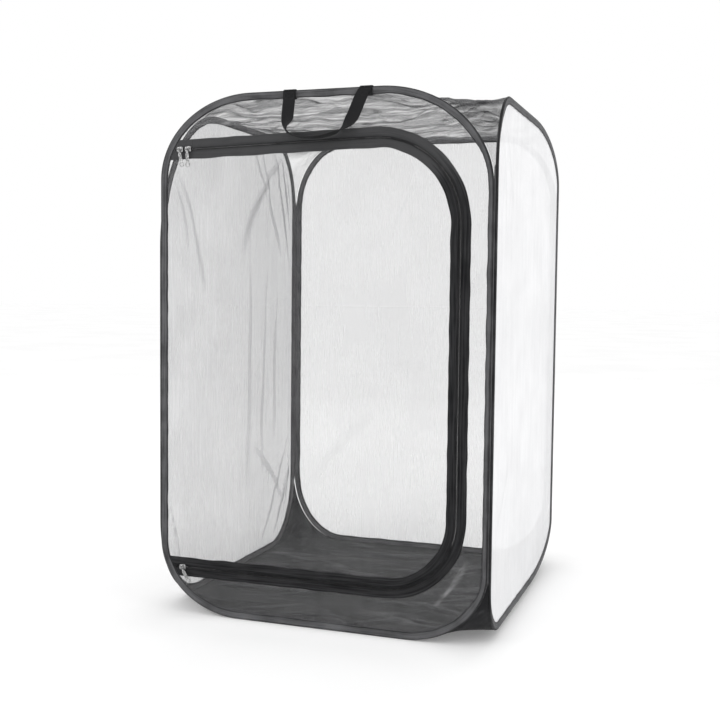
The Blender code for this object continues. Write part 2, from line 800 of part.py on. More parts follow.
def corner_rise(x, y, level):
    """How far a cloth leaves its flat middle towards the corners, where it runs between hoops."""
    half_x = x.max()
    half_y = y.max()
    rise = np.zeros_like(x)
    right_share = (0.5 + 0.5 * x / half_x) ** 8
    for depth in (-1, 1):
        for side in (-1, 1):
            end_hoop, side_hoop = cloth_corner((depth, side, level))
            from_side = (half_x - side * x) / end_hoop[0]
            from_end = (half_y - depth * y) / side_hoop[0]
            reach = from_side + from_end
            tip = np.isclose(reach, 0.0)
            end_share = from_side / np.where(tip, 1.0, reach)
            tall = end_share * end_hoop[1] + (1 - end_share) * side_hoop[1]
            tall = np.where(tip, max(end_hoop[1], side_hoop[1]), tall)
            bend = np.clip(1.0 - reach, 0.0, 1.0)
            rise += tall * (1.0 - np.sqrt(1.0 - bend**2))
            if side > 0:
                right_share = right_share * np.where(tip, 0.0, 1.0 - end_share)
    foot, crown = hoop_ends(RIGHT_CORNERS)
    return rise + right_share * (HEIGHT - crown if level > 0 else foot)


def edge_stations(half, near, far, middle_steps):
    """Places of the grid lines along one edge: close together where the hoop curves."""
    angle = np.radians(np.linspace(0.0, 90.0, CORNER_STEPS + 1))
    spread = 1.0 - np.cos(angle)
    low = -half + near * spread
    high = half - far * spread[::-1]
    middle = np.linspace(low[-1], high[0], middle_steps + 1)[1:-1]
    return np.concatenate([low, middle, high])


def cloth_surface(level, middle_steps, thickness):
    """A cloth's grid: its lines run close together where the hoops curve, and it rises there."""
    half_x = FOLD_X - FOLD_GAP / 2 - thickness
    half_y = FOLD_Y - FOLD_GAP / 2 - thickness
    corner = {key: cloth_corner((*key, level)) for key in ((-1, -1), (-1, 1), (1, -1), (1, 1))}
    front = edge_stations(half_x, corner[-1, -1][0][0], corner[-1, 1][0][0], middle_steps)
    rear = edge_stations(half_x, corner[1, -1][0][0], corner[1, 1][0][0], middle_steps)
    left = edge_stations(half_y, corner[-1, -1][1][0], corner[1, -1][1][0], middle_steps)
    right = edge_stations(half_y, corner[-1, 1][1][0], corner[1, 1][1][0], middle_steps)
    mean_x = (front + rear) / 2
    mean_y = (left + right) / 2
    back_share = (mean_y[:, None] + half_y) / (2 * half_y)
    right_share = (mean_x[None, :] + half_x) / (2 * half_x)
    x = front[None, :] * (1 - back_share) + rear[None, :] * back_share
    y = left[:, None] * (1 - right_share) + right[:, None] * right_share
    return x, y, corner_rise(x, y, level)


def cloth_object(parts, name, x, y, z, thickness, material):
    """A cloth from its grid of points, given its thickness upwards from the grid."""
    rows, columns = x.shape
    mesh = bpy.data.meshes.new(name)
    points = np.stack([x, y, z], axis=-1).reshape(-1, 3)
    index = np.arange(rows * columns).reshape(rows, columns)
    quads = np.stack([index[:-1, :-1], index[:-1, 1:], index[1:, 1:], index[1:, :-1]], axis=-1)
    mesh.from_pydata(points, [], quads.reshape(-1, 4).tolist())
    obj = add_object(parts, name, mesh, material)
    solid = obj.modifiers.new("cloth", "SOLIDIFY")
    solid.thickness = thickness
    solid.offset = 1.0
    smooth_round(obj)
    return obj


def build_floor(parts, material, pivot):
    x, y, rise = cloth_surface(-1, FLOOR_MID_STEPS, FLOOR_THICKNESS)
    floor = cloth_object(parts, "floor_cloth", x, y, rise, FLOOR_THICKNESS, material)
    floor.parent = pivot
    return floor


def build_top(parts, material, pivot):
    """The slack top net: it sags in the middle and gathers in a few long folds."""
    x, y, rise = cloth_surface(1, TOP_MID_STEPS, TOP_THICKNESS)
    slack = (1 - (x / FOLD_X) ** 2) * (1 - (y / FOLD_Y) ** 2)
    phase = 2 * math.pi * (y + TOP_FOLD_DRIFT * np.sin(2 * math.pi * x / WIDTH)) / TOP_FOLD_PITCH
    folds = TOP_FOLD_HEIGHT * slack * np.sin(phase)
    z = HEIGHT - TOP_THICKNESS - rise - TOP_SAG * slack + folds
    y[0] += WRAP_THICKNESS + SEAM_GAP
    top = cloth_object(parts, "top_net", x, y, z, TOP_THICKNESS, material)
    top.parent = pivot
    return top


def build_cage():
    """Every piece of the cage, each in its own object, under the empties of its joints."""
    clear_scene()
    parts = new_collection("insect_cage")
    guides = new_collection("guides")
    binding = new_material("binding_tape", (0.050, 0.050, 0.053), 0.80)
    steel = new_material("spring_steel", (0.45, 0.45, 0.47), 0.35, 1.0)
    crimp = new_material("ferrule_steel", (0.55, 0.55, 0.56), 0.30, 1.0)
    wall_net = new_material("wall_net", (0.78, 0.78, 0.79), 0.70)
    door_mesh = new_material("door_net", (0.80, 0.80, 0.81), 0.70)
    top_mesh = new_material("top_net", (0.10, 0.10, 0.10), 0.75)
    floor_fabric = new_material("floor_fabric", (0.030, 0.030, 0.032), 0.60)
    tape = new_material("zip_tape", (0.022, 0.022, 0.024), 0.75)
    coil = new_material("zip_coil", (0.030, 0.030, 0.032), 0.45)
    metal = new_material("slider_metal", (0.62, 0.62, 0.63), 0.30, 1.0)
    webbing = new_material("strap_webbing", (0.015, 0.015, 0.016), 0.80)

    front_foot = np.array([0.0, FRONT_PLANE, 0.0])
    side_plane = FOLD_X + FOLD_GAP / 2 + SLEEVE_HALF
    cage = new_pivot(parts, "cage_foot", (0.0, 0.0, 0.0))
    left_fold = new_pivot(parts, "left_fold", (-FOLD_X, -FOLD_Y, 0.0), cage)
    right_fold = new_pivot(parts, "right_fold", (FOLD_X, -FOLD_Y, 0.0), cage)
    rear_fold = new_pivot(parts, "rear_fold", (FOLD_X, FOLD_Y, 0.0), right_fold)
    front = Wall("front", FRONT_SPAN, FRONT_CORNERS, front_foot, 0.0, cage)
    side_foot = np.array([side_plane, 0.0, 0.0])
    right = Wall("right", SIDE_SPAN, RIGHT_CORNERS, side_foot, math.pi / 2, right_fold)
    rear = Wall("rear", FRONT_SPAN, REAR_CORNERS, -front_foot, math.pi, rear_fold)
    left = Wall("left", SIDE_SPAN, LEFT_CORNERS, -side_foot, -math.pi / 2, left_fold)

    section_curve = flat_curve("sleeve_section", [sleeve_section()], 0.0)
    section_curve.fill_mode = "NONE"
    section = add_object(guides, "sleeve_section", section_curve)
    section.hide_render = True
    section.display_type = "WIRE"
    for wall in (front, right, rear, left):
        build_sleeve(parts, wall, section, binding)
        build_wire(parts, wall, steel)
        build_ferrule(parts, wall, crimp)
    for wall in (right, rear, left):
        outline = hoop_outline(wall.span, wall.corners, NET_INSET)
        build_net(parts, wall, outline, wall.name + "_net", wall_net)

    hinge_x = -FRONT_SPAN / 2 + DOOR_INSET
    door = new_pivot(parts, "door_hinge", (hinge_x, FRONT_PLANE - DOOR_HINGE_RISE, 0.0), cage)
    leaf = Wall("door", FRONT_SPAN, FRONT_CORNERS, front_foot, 0.0, door)
    build_net(parts, front, front_net_outline(), "front_net", wall_net)
    build_net(parts, leaf, door_net_outline(), "door_net", door_mesh)
    tape_middle = np.array([0.0, -(TAPE_BACK + TAPE_FACE) / 2, 0.0])
    for name, wall, outline in (
        ("frame_zip_tape", front, frame_tape_outline()),
        ("door_zip_tape", leaf, door_tape_outline()),
    ):
        sheet = add_object(parts, name, flat_curve(name, [outline], ZIP_TAPE_THICKNESS), tape)
        wall.stand(sheet)
        sheet.location = np.array(sheet.location) + tape_middle

    top_start, top_end = coil_ends(0, RIGHT_SLIDER_X)
    low_start, low_end = coil_ends(2, LOWER_SLIDER_X)
    running = (top_end + 2 * SEAM_GAP, low_end + 2 * SEAM_GAP)
    build_coil(parts, front, "frame_zip_coil", zip_line(COIL_OFFSET, *running), coil)
    build_coil(parts, leaf, "door_zip_coil", zip_line(-COIL_OFFSET, top_start, low_start), coil)
    for name, run, start, end in (("upper", 0, top_start, top_end), ("lower", 2, low_start, low_end)):
        line = np.array([zip_run_point(run, start, COIL_OFFSET), zip_run_point(run, end, COIL_OFFSET)])
        build_coil(parts, leaf, name + "_parked_coil", line, coil)

    meshes = (slider_mesh(guides), pull_mesh(guides))
    for mesh in meshes:
        mesh.materials.append(metal)
    for spec in (
        ("left", 0, LEFT_SLIDER_X, LEFT_PULL_TILT),
        ("right", 0, RIGHT_SLIDER_X, RIGHT_PULL_TILT),
        ("lower", 2, LOWER_SLIDER_X, LOWER_PULL_TILT),
    ):
        build_slider_set(parts, door, meshes, spec)

    for name, x in (("left_strap_wrap", LEFT_WRAP_X), ("right_strap_wrap", RIGHT_WRAP_X)):
        wrap = add_object(parts, name, wrap_curve(name), webbing)
        hang(wrap, (x, FRONT_PLANE, 0.0), cage)
        wrap.rotation_euler = (math.pi / 2, 0.0, math.pi / 2)
    strap = add_object(parts, "carry_strap", strap_mesh(), webbing)
    strap_y = strap_line()[0][0, 1]
    strap_pivot = new_pivot(parts, "strap_hinge", (0.0, strap_y, HEIGHT - STRAP_TOP_DROP), cage)
    strap.parent = strap_pivot
    strap.location = -world_place(strap_pivot)

    build_floor(parts, floor_fabric, cage)
    build_top(parts, top_mesh, cage)
    bpy.context.view_layer.update()


build_cage()
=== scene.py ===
# %% [markdown]
# # A pop-up insect cage, dressed
# The imported model already says where every piece of the cage is and what moves with what.
# This lesson dresses it: binding, nets, cloths, zip, metal and webbing are made one after
# another, each as a surface worked out with numpy, and most of them ride on the body they are
# sewn to; the door's net and the plies of the top and the floor stay where they are made.
# Every length is in metres, and MM turns millimetres into metres.

# %% Load the frame
import math

import bpy
import numpy as np
from mathutils import Matrix


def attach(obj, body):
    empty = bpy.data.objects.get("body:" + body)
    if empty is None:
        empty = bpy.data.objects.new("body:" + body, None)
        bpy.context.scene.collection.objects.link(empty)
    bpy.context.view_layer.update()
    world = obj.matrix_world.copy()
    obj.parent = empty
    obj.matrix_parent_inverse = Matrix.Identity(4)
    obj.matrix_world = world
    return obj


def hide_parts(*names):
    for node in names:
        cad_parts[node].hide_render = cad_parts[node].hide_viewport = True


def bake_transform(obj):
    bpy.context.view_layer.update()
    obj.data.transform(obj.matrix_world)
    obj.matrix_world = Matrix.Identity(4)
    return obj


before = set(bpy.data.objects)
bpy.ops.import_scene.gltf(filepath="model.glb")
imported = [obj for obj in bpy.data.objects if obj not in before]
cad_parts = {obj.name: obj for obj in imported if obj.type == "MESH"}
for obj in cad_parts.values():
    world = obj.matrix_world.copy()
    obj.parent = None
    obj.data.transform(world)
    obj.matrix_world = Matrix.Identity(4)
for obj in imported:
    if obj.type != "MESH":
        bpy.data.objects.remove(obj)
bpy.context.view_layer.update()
MM = 0.001

# %% [markdown]
# ## Camera
# The photograph was taken a little above the middle of the cage, from the front and slightly
# to its right. The camera is placed by two angles and a distance from a point on the cage's
# axis, then rolled by two thirds of a degree, because the photograph leans that much. A small shift
# puts the cage where it stands in the picture.

# %% Place the camera
CAMERA_TURN = math.radians(18.891)
CAMERA_RISE = math.radians(3.546)
CAMERA_ROLL = math.radians(0.667)
CAMERA_REACH = 2.0362
FOCAL_LENGTH = 52.72
FRAME_SHIFT = (-0.0212, -0.0096)
LOOK_AT = np.array([0.0, 0.0, 0.45])


def add_camera():
    """The camera's own axes are right, up and back; they become the columns of its matrix."""
    back = np.array([
        math.sin(CAMERA_TURN) * math.cos(CAMERA_RISE),
        -math.cos(CAMERA_TURN) * math.cos(CAMERA_RISE),
        math.sin(CAMERA_RISE),
    ])
    level = np.array([math.cos(CAMERA_TURN), math.sin(CAMERA_TURN), 0.0])
    upright = np.cross(back, level)
    right = math.cos(CAMERA_ROLL) * level + math.sin(CAMERA_ROLL) * upright
    up = math.cos(CAMERA_ROLL) * upright - math.sin(CAMERA_ROLL) * level
    lens = bpy.data.cameras.new("photo_camera")
    lens.sensor_width = 36.0
    lens.lens = FOCAL_LENGTH
    lens.shift_x, lens.shift_y = FRAME_SHIFT
    lens.clip_end = 60.0
    camera = bpy.data.objects.new("photo_camera", lens)
    bpy.context.scene.collection.objects.link(camera)
    turn = np.eye(4)
    turn[:3, 0], turn[:3, 1], turn[:3, 2] = right, up, back
    turn[:3, 3] = LOOK_AT + CAMERA_REACH * back
    camera.matrix_world = Matrix(turn)
    bpy.context.scene.camera = camera
    return camera


camera = add_camera()
print("camera at", [round(number, 3) for number in camera.location])

# %% [markdown]
# ## Surfaces from numpy
# A piece is one or more *shapes*. A shape is its points, its faces and the cloth coordinates
# of each face corner. Most shapes are grids: rows of points that run along a piece, and
# columns that run across it. A closed grid joins its last row or column to its first, and
# its cloth coordinates get one more row or column, so that the pattern doesn't run backwards
# over the last face.

# %% Helpers that turn arrays into pieces
def corners_of(grid):
    """The four corners of every cell of a grid, in order round the cell."""
    return np.stack([grid[:-1, :-1], grid[:-1, 1:], grid[1:, 1:], grid[1:, :-1]], axis=2)


def surface(points, cloth=None, close_rows=False, close_columns=False, caps=False, flip=False):
    """A shape from a grid of points: each cell is a face; caps fill the first and last rows."""
    rows, columns = points.shape[:2]
    index = np.arange(rows * columns).reshape(rows, columns)
    if close_rows:
        index = np.concatenate([index, index[:1]])
    if close_columns:
        index = np.concatenate([index, index[:, :1]], axis=1)
    if cloth is None:
        along, across = np.mgrid[0 : index.shape[0], 0 : index.shape[1]]
        cloth = np.stack([along, across], axis=-1) * MM
    faces = [corners_of(index).reshape(-1, 4)]
    marks = [corners_of(cloth).reshape(-1, 4, 2)]
    if caps:
        ends = np.stack([np.arange(columns)[::-1], np.arange(columns) + (rows - 1) * columns])
        faces.append(ends)
        marks.append(np.stack([cloth[0, :columns][::-1], cloth[-1, :columns]]))
    if flip:
        faces = [face[:, ::-1] for face in faces]
        marks = [mark[:, ::-1] for mark in marks]
    return points.reshape(-1, 3), faces, marks


def repeated(places, faces, cloth=None):
    """One small shape many times over: places is (copies, points, 3), faces is for one copy."""
    copies, size = places.shape[:2]
    if cloth is None:
        cloth = np.zeros((copies, size, 2))
    flat = cloth.reshape(-1, 2)
    shift = np.arange(copies)[:, None, None] * size
    all_faces = [(np.array(face)[None] + shift).reshape(-1, len(face[0])) for face in faces]
    return places.reshape(-1, 3), all_faces, [flat[face] for face in all_faces]


def new_piece(name, shapes, finish, attributes=None, smooth_angle=40):
    """One object from its shapes, with its finish, its cloth coordinates and point values."""
    start = 0
    points, loops, sizes, marks = [], [], [], []
    for shape_points, faces, cloth in shapes:
        points.append(shape_points)
        for face, mark in zip(faces, cloth):
            loops.append(face.ravel() + start)
            sizes.append(np.full(len(face), face.shape[1]))
            marks.append(mark.reshape(-1, 2))
        start += len(shape_points)
    points, loops, sizes = np.concatenate(points), np.concatenate(loops), np.concatenate(sizes)
    mesh = bpy.data.meshes.new(name)
    mesh.vertices.add(len(points))
    mesh.vertices.foreach_set("co", points.astype(np.float32).ravel())
    mesh.loops.add(len(loops))
    mesh.loops.foreach_set("vertex_index", loops.astype(np.int32))
    mesh.polygons.add(len(sizes))
    mesh.polygons.foreach_set("loop_start", (np.cumsum(sizes) - sizes).astype(np.int32))
    mesh.update(calc_edges=True)
    layer = mesh.uv_layers.new(name="cloth")
    layer.data.foreach_set("uv", np.concatenate(marks).astype(np.float32).ravel())
    for key, values in (attributes or {}).items():
        mesh.attributes.new(key, "FLOAT", "POINT").data.foreach_set("value", values.astype(np.float32))
    mesh.shade_smooth()
    mesh.set_sharp_from_angle(angle=math.radians(smooth_angle))
    mesh.materials.append(finish)
    piece = bpy.data.objects.new(name, mesh)
    bpy.context.scene.collection.objects.link(piece)
    print(f"{name}: {len(points)} points, {len(sizes)} faces")
    return piece


def unit(vectors):
    """The same directions, each one long."""
    return vectors / np.linalg.norm(vectors, axis=-1, keepdims=True)


def walked(line):
    """How far along a line each of its points lies."""
    return np.concatenate([[0.0], np.cumsum(np.linalg.norm(np.diff(line, axis=0), axis=1))])


def read_at(spots, places, values):
    """Rows of values, known at places along a line, read at other spots along it."""
    return np.stack([np.interp(spots, places, column) for column in values.T], axis=1)


def lattice(rows, columns):
    """Two lists of numbers as a grid of pairs."""
    return np.stack(np.meshgrid(rows, columns, indexing="ij"), axis=-1)


def lifted(line, level):
    """A flat line's points, all at one level off its plane."""
    return np.column_stack([line, np.full(len(line), level)])


def ease(value):
    """A smooth step: nought below 0, one above 1, three squares less two cubes between."""
    held = np.clip(value, 0.0, 1.0)
    return held * held * (3.0 - 2.0 * held)


def waves(place, length, wave, seed, count=7):
    """Even, seamless waviness along a closed line: a few sines of whole turns, mixed by a seed."""
    chance = np.random.default_rng(seed)
    turns = np.maximum(1, np.round(length / wave * chance.uniform(0.6, 1.6, count)))
    start = chance.uniform(0.0, 2 * math.pi, count)
    angle = 2 * math.pi * place[..., None] / length * turns + start
    return np.sin(angle).sum(axis=-1) / math.sqrt(count)


def cloudy(x, y, wave, seed, count=9):
    """Soft waviness over a sheet: a few sines in mixed directions, about one wave apart."""
    chance = np.random.default_rng(seed)
    heading = chance.uniform(0.0, math.pi, count)
    length = wave * chance.uniform(0.6, 1.7, count)
    start = chance.uniform(0.0, 2 * math.pi, count)
    reach = x[..., None] * np.cos(heading) + y[..., None] * np.sin(heading)
    return np.sin(2 * math.pi * reach / length + start).sum(axis=-1) / math.sqrt(count)


# %% [markdown]
# ## Shader maths as Python
# A finish is a material with one principled shader. Numbers that vary over a surface are
# sockets, and adding up sockets by hand is slow work, so a small class wraps a socket and
# turns `+ - * /` into Math nodes. Any other node comes from one method, which takes the
# node's type, its settings and the values or links of its sockets.

# %% A small language for finishes
class Value:
    """A socket of a finish; arithmetic on it adds Math nodes."""

    def __init__(self, finish, socket):
        self.finish = finish
        self.socket = socket

    def __add__(self, other):
        return self.finish.maths("ADD", self, other)

    def __sub__(self, other):
        return self.finish.maths("SUBTRACT", self, other)

    def __rsub__(self, other):
        return self.finish.maths("SUBTRACT", other, self)

    def __mul__(self, other):
        return self.finish.maths("MULTIPLY", self, other)

    def __truediv__(self, other):
        return self.finish.maths("DIVIDE", self, other)

    __radd__ = __add__
    __rmul__ = __mul__

    def sine(self):
        return self.finish.maths("SINE", self)

    def size(self):
        return self.finish.maths("ABSOLUTE", self)

    def least(self, other):
        return self.finish.maths("MINIMUM", self, other)

    def most(self, other):
        return self.finish.maths("MAXIMUM", self, other)

    def step(self, low, high, start=0.0, end=1.0):
        """A smooth step from start to end as this value goes from low to high."""
        inputs = {"Value": self, "From Min": low, "From Max": high, "To Min": start, "To Max": end}
        return self.finish.node("ShaderNodeMapRange", {"interpolation_type": "SMOOTHSTEP"}, inputs)


class Finish:
    """A material with one principled shader, built up by expressions."""

    def __init__(self, name, **fixed):
        self.material = bpy.data.materials.new(name)
        self.material.use_nodes = True
        self.tree = self.material.node_tree
        self.shader = self.tree.nodes["Principled BSDF"]
        for key, value in fixed.items():
            self.shader.inputs[key.replace("_", " ")].default_value = value

    def node(self, kind, settings=None, inputs=None, output=0):
        made = self.tree.nodes.new(kind)
        for key, value in (settings or {}).items():
            setattr(made, key, value)
        for key, value in (inputs or {}).items():
            if isinstance(value, Value):
                self.tree.links.new(value.socket, made.inputs[key])
            else:
                made.inputs[key].default_value = value
        return Value(self, made.outputs[output])

    def maths(self, operation, *values):
        return self.node("ShaderNodeMath", {"operation": operation}, dict(enumerate(values)))

    def place(self):
        """Where a point lies on the cage, in metres."""
        return self.node("ShaderNodeTexCoord", output="Object")

    def cloth(self):
        """The piece's own cloth coordinates, in metres along and across it."""
        return self.node("ShaderNodeUVMap", {"uv_map": "cloth"})

    def split(self, vector):
        made = self.node("ShaderNodeSeparateXYZ", None, {0: vector})
        return [Value(self, socket) for socket in made.socket.node.outputs]

    def stretched(self, vector, scale):
        return self.node("ShaderNodeMapping", None, {"Vector": vector, "Scale": scale})

    def noise(self, vector, scale, detail=3.0, roughness=0.55):
        inputs = {"Vector": vector, "Scale": scale, "Detail": detail, "Roughness": roughness}
        return self.node("ShaderNodeTexNoise", None, inputs)

    def mark(self, name):
        """A value stored on the piece's points."""
        return self.node("ShaderNodeAttribute", {"attribute_name": name}, output="Fac")

    def blend(self, share, dark, light):
        """A colour between two colours."""
        colours = [(*c, 1.0) if isinstance(c, tuple) else c for c in (dark, light)]
        inputs = {0: share, 6: colours[0], 7: colours[1]}
        return self.node("ShaderNodeMix", {"data_type": "RGBA"}, inputs, output=2)

    def feed(self, socket, value):
        self.tree.links.new(value.socket, self.shader.inputs[socket])

    def bump(self, height, distance, strength=1.0):
        inputs = {"Height": height, "Distance": distance, "Strength": strength}
        self.feed("Normal", self.node("ShaderNodeBump", None, inputs))


# %% [markdown]
# ## Stage and light
# The photograph is a cut-out on white. A wide pale floor under an even white sky looks the
# same and still shows a faint shadow where the cage stands. Three large soft lamps shape the
# folds: a key from the upper left in front, a weak one from the right, and one from above and
# behind that gives the top edges a rim.

# %% Build the stage
def add_stage():
    finish = Finish("studio_floor", Roughness=0.9)
    tone = finish.noise(finish.place(), 1.4).step(0.3, 0.7)
    finish.feed("Base Color", finish.blend(tone, (0.80, 0.80, 0.80), (0.84, 0.84, 0.84)))
    finish.shader.inputs["Emission Color"].default_value = (1.0, 1.0, 1.0, 1.0)
    finish.shader.inputs["Emission Strength"].default_value = 0.16
    ring = np.linspace(0.0, 2 * math.pi, 64, endpoint=False)
    reach = np.array([30.0, 6.0, 1.5, 0.01])
    points = np.stack([
        reach[:, None] * np.cos(ring),
        reach[:, None] * np.sin(ring),
        np.full((len(reach), len(ring)), -0.4 * MM),
    ], axis=-1)
    shape = surface(points, close_columns=True)
    floor = new_piece("studio_floor", [shape], finish.material)


def add_lamp(name, place, size, power):
    """A square area lamp that faces the middle of the cage."""
    light = bpy.data.lights.new(name, "AREA")
    light.size = size
    light.energy = power
    lamp = bpy.data.objects.new(name, light)
    bpy.context.scene.collection.objects.link(lamp)
    back = unit(np.array(place) - LOOK_AT)
    side = unit(np.cross([0.0, 0.0, 1.0], back))
    turn = np.eye(4)
    turn[:3, 0], turn[:3, 1], turn[:3, 2], turn[:3, 3] = side, np.cross(back, side), back, place
    lamp.matrix_world = Matrix(turn)


add_stage()
world = bpy.data.worlds.new("studio")
bpy.context.scene.world = world
world.use_nodes = True
sky = world.node_tree.nodes["Background"].inputs
sky["Color"].default_value = (1.0, 1.0, 1.0, 1.0)
sky["Strength"].default_value = 1.0
bpy.context.scene.view_settings.view_transform = "Standard"
add_lamp("key", (-2.2, -2.6, 2.4), 1.8, 26.0)
add_lamp("fill", (2.8, -1.6, 1.2), 2.0, 8.0)
add_lamp("rim", (0.4, 2.4, 2.6), 1.6, 14.0)
print("stage and three lamps")

# %% [markdown]
# ## The hoops' outlines
# Each wall is an upright loop with straight sides and elliptical corners, and no two corners
# are quite the same, because the sprung wire pulls itself out of true. The outline is worked
# out once per wall: straight runs and ellipse quarters, then laid out again at even steps. The
# right hoop is pulled the most, so its crown is a little lower and its foot a little higher.
# Wall coordinates are across, up and outwards; a quarter turn per wall stands them up.

# %% Outlines and walls
HEIGHT = 0.900
PLANE = 0.2975
SPAN = 0.5894
CORNER_STEPS = 40
NET_INSET = 8.0 * MM
HOOPS = {
    "front": {"top_right": (0.190, 0.165), "top_left": (0.170, 0.142),
              "bottom_left": (0.150, 0.130), "bottom_right": (0.140, 0.120)},
    "right": {"top_right": (0.270, 0.104), "top_left": (0.090, 0.119),
              "bottom_left": (0.070, 0.083), "bottom_right": (0.235, 0.080)},
}
PLAIN = {key: (0.120, 0.150) for key in ("top_right", "top_left", "bottom_left", "bottom_right")}
HOOPS["rear"] = PLAIN
HOOPS["left"] = {**PLAIN, "top_right": (0.220, 0.260), "bottom_right": (0.140, 0.160)}
CROWNS = {"front": HEIGHT, "right": HEIGHT - 0.011, "rear": HEIGHT, "left": HEIGHT}
FEET = {"front": 0.0, "right": 0.012, "rear": 0.0, "left": 0.0}
TURNS = {"front": 0.0, "right": 90.0, "rear": 180.0, "left": -90.0}


def stand(wall, local):
    """Wall numbers (across, up, outwards) become places: two directions turn with the wall."""
    turn = math.radians(TURNS[wall])
    across = np.array([math.cos(turn), math.sin(turn), 0.0])
    out = np.array([math.sin(turn), -math.cos(turn), 0.0])
    flat = local[..., :1] * across + (PLANE + local[..., 2:]) * out
    return flat + local[..., 1:2] * np.array([0.0, 0.0, 1.0])


def outwards(wall):
    """The direction out of a wall."""
    return stand(wall, np.array([0.0, 0.0, 1.0])) - stand(wall, np.zeros(3))


def outline(wall, inset=0.0, steps=CORNER_STEPS):
    """The loop clockwise from its lower left corner: four ellipse quarters, moved in."""
    half = SPAN / 2
    legs = (("bottom_left", -1, -1, 270, 180), ("top_left", -1, 1, 180, 90),
            ("top_right", 1, 1, 90, 0), ("bottom_right", 1, -1, 0, -90))
    arcs = []
    for name, side, rise, start, stop in legs:
        across, up = HOOPS[wall][name]
        angle = np.radians(np.linspace(start, stop, steps + 1))
        spot = np.stack([across * np.cos(angle), up * np.sin(angle)], axis=1)
        normal = unit(np.stack([np.cos(angle) / across, np.sin(angle) / up], axis=1))
        level = CROWNS[wall] - up if rise > 0 else FEET[wall] + up
        centre = np.array([side * (half - across), level])
        arcs.append(centre + spot - inset * normal)
    return np.concatenate(arcs)


def even_steps(line, count, closed=True):
    """The same line at even steps, with how far along it each point lies."""
    loop = np.concatenate([line, line[:1]]) if closed else line
    length = walked(loop)
    place = np.linspace(0.0, length[-1], count, endpoint=not closed)
    return read_at(place, length, loop), place, length[-1]


def loop_directions(line):
    """Unit directions along a closed flat line, and square to it towards its inside."""
    along = unit(np.roll(line, -1, axis=0) - np.roll(line, 1, axis=0))
    return along, np.stack([along[:, 1], -along[:, 0]], axis=1)


for wall in HOOPS:
    print(wall, "hoop runs", round(even_steps(outline(wall), 8)[2], 3), "m")

# %% [markdown]
# ## Binding
# The wire of each hoop runs in a tape of dark polyester, folded over it and over the edge of
# the net, and sewn through close to its lips. So its section is a deep U that is round at the
# wire and nearly flat at the lips. A curve with a bevel could make it, but then no wrinkle
# could follow the cloth. Here the section is carried round the outline as one array, and two
# sets of waves push its lips in and out, more in the tight corners, where the inner edge of
# a real tape has too much cloth and gathers.

# %% Binding finish
FACE_WIDTH = 13.9 * MM


def weave(finish, cloth, pitch, depth=1.0):
    """Plain weave: two crossing sines whose product tells which thread lies on top."""
    u, v, _ = finish.split(finish.stretched(cloth, (math.pi / pitch, math.pi / pitch, 1.0)))
    over = (u.sine() * v.sine()).step(-0.5, 0.5)
    return over * depth


def binding_finish():
    """Dark grey woven tape, with painted shade at the wire and the lips, so it is paler in the middle of
    each face.
    """
    finish = Finish("binding_tape", Specular_IOR_Level=0.16, Sheen_Weight=0.10, Sheen_Roughness=0.4)
    cloth = finish.cloth()
    _, around, _ = finish.split(cloth)
    from_wire = (around - FACE_WIDTH).size()
    # painted shade: wire darkens the tape at its rounded fold over the wire, and lip darkens it along its
    # lips
    wire = from_wire.step(1.0 * MM, 4.5 * MM, 1.0, 0.0)
    lip = (from_wire - FACE_WIDTH).size().step(0.4 * MM, 2.2 * MM, 1.0, 0.0)
    threads = weave(finish, cloth, 0.42 * MM)
    cloud = finish.noise(finish.place(), 26.0, 4.0)
    fibre = finish.noise(finish.stretched(cloth, (900.0, 90.0, 1.0)), 1.0, 2.0)
    streak = finish.noise(finish.stretched(cloth, (14.0, 420.0, 1.0)), 1.0, 4.0)
    tone = cloud * 0.5 + streak * 0.7 + fibre * 0.15 + threads * 0.1 - wire * 0.30 - lip * 0.35
    tone = tone.step(0.30, 0.95)
    finish.feed("Base Color", finish.blend(tone, (0.010, 0.010, 0.011), (0.125, 0.125, 0.130)))
    finish.feed("Roughness", 0.60 + fibre * 0.25)
    finish.bump(threads * 0.5 + fibre * 0.5 + cloud * 1.5, 0.25 * MM, 0.8)
    return finish.material


def thread_finish(name, tone):
    """Sewing thread: two plies laid up together show as slanting ridges."""
    finish = Finish(name, Specular_IOR_Level=0.4)
    x, y, z = finish.split(finish.place())
    ply = ((x + y * 0.7 + z * 1.3) * 5200.0).sine().step(-0.6, 0.6)
    dark = tuple(0.6 * number for number in tone)
    finish.feed("Base Color", finish.blend(ply, dark, tone))
    finish.feed("Roughness", 0.45 + ply * 0.2)
    return finish.material


BINDING = binding_finish()
BINDING_THREAD = thread_finish("binding_thread", (0.10, 0.10, 0.105))


# %% Binding pieces
WIRE_FOLD = 2.5 * MM
TAPE = 0.6 * MM
LOOP_STEPS = 900
SEAM_DEPTH, SEAM_RISE = 10.6 * MM, 1.28 * MM
SLOPE = np.array([(12.9, 1.13), (12.2, 1.16), (11.2, 1.15), (9.8, 1.17), (8.6, 1.25),
                  (7.4, 1.45), (6.3, 1.85), (5.2, 2.25), (4.0, 2.44), (3.2, 2.49)]) * MM


def binding_section():
    """Depth from the hoop's edge and height off the wall's middle, round the folded tape."""
    turn = np.radians(np.linspace(90.0, 180.0, 8))
    arc = np.stack([np.cos(turn), np.sin(turn)], axis=1)
    centre = np.array([WIRE_FOLD, 0.0])
    outer, inner = centre + WIRE_FOLD * arc, centre + (WIRE_FOLD - TAPE) * arc
    inner_slope = SLOPE - [0.0, TAPE]
    other = np.array([1.0, -1.0])
    near, far = [SLOPE, outer], [outer[-2::-1] * other, SLOPE[::-1] * other]
    back, front = [inner_slope * other, inner[:-1] * other], [inner[::-1], inner_slope[::-1]]
    return np.concatenate(near + far + back + front)


def slimness(wall, line):
    """Where a binding is folded narrower: on the two uprights that meet at the right front."""
    side = {"front": 1.0, "right": -1.0}.get(wall, 0.0)
    return 0.30 * ease((side * line[:, 0] - 0.262) / (32 * MM))


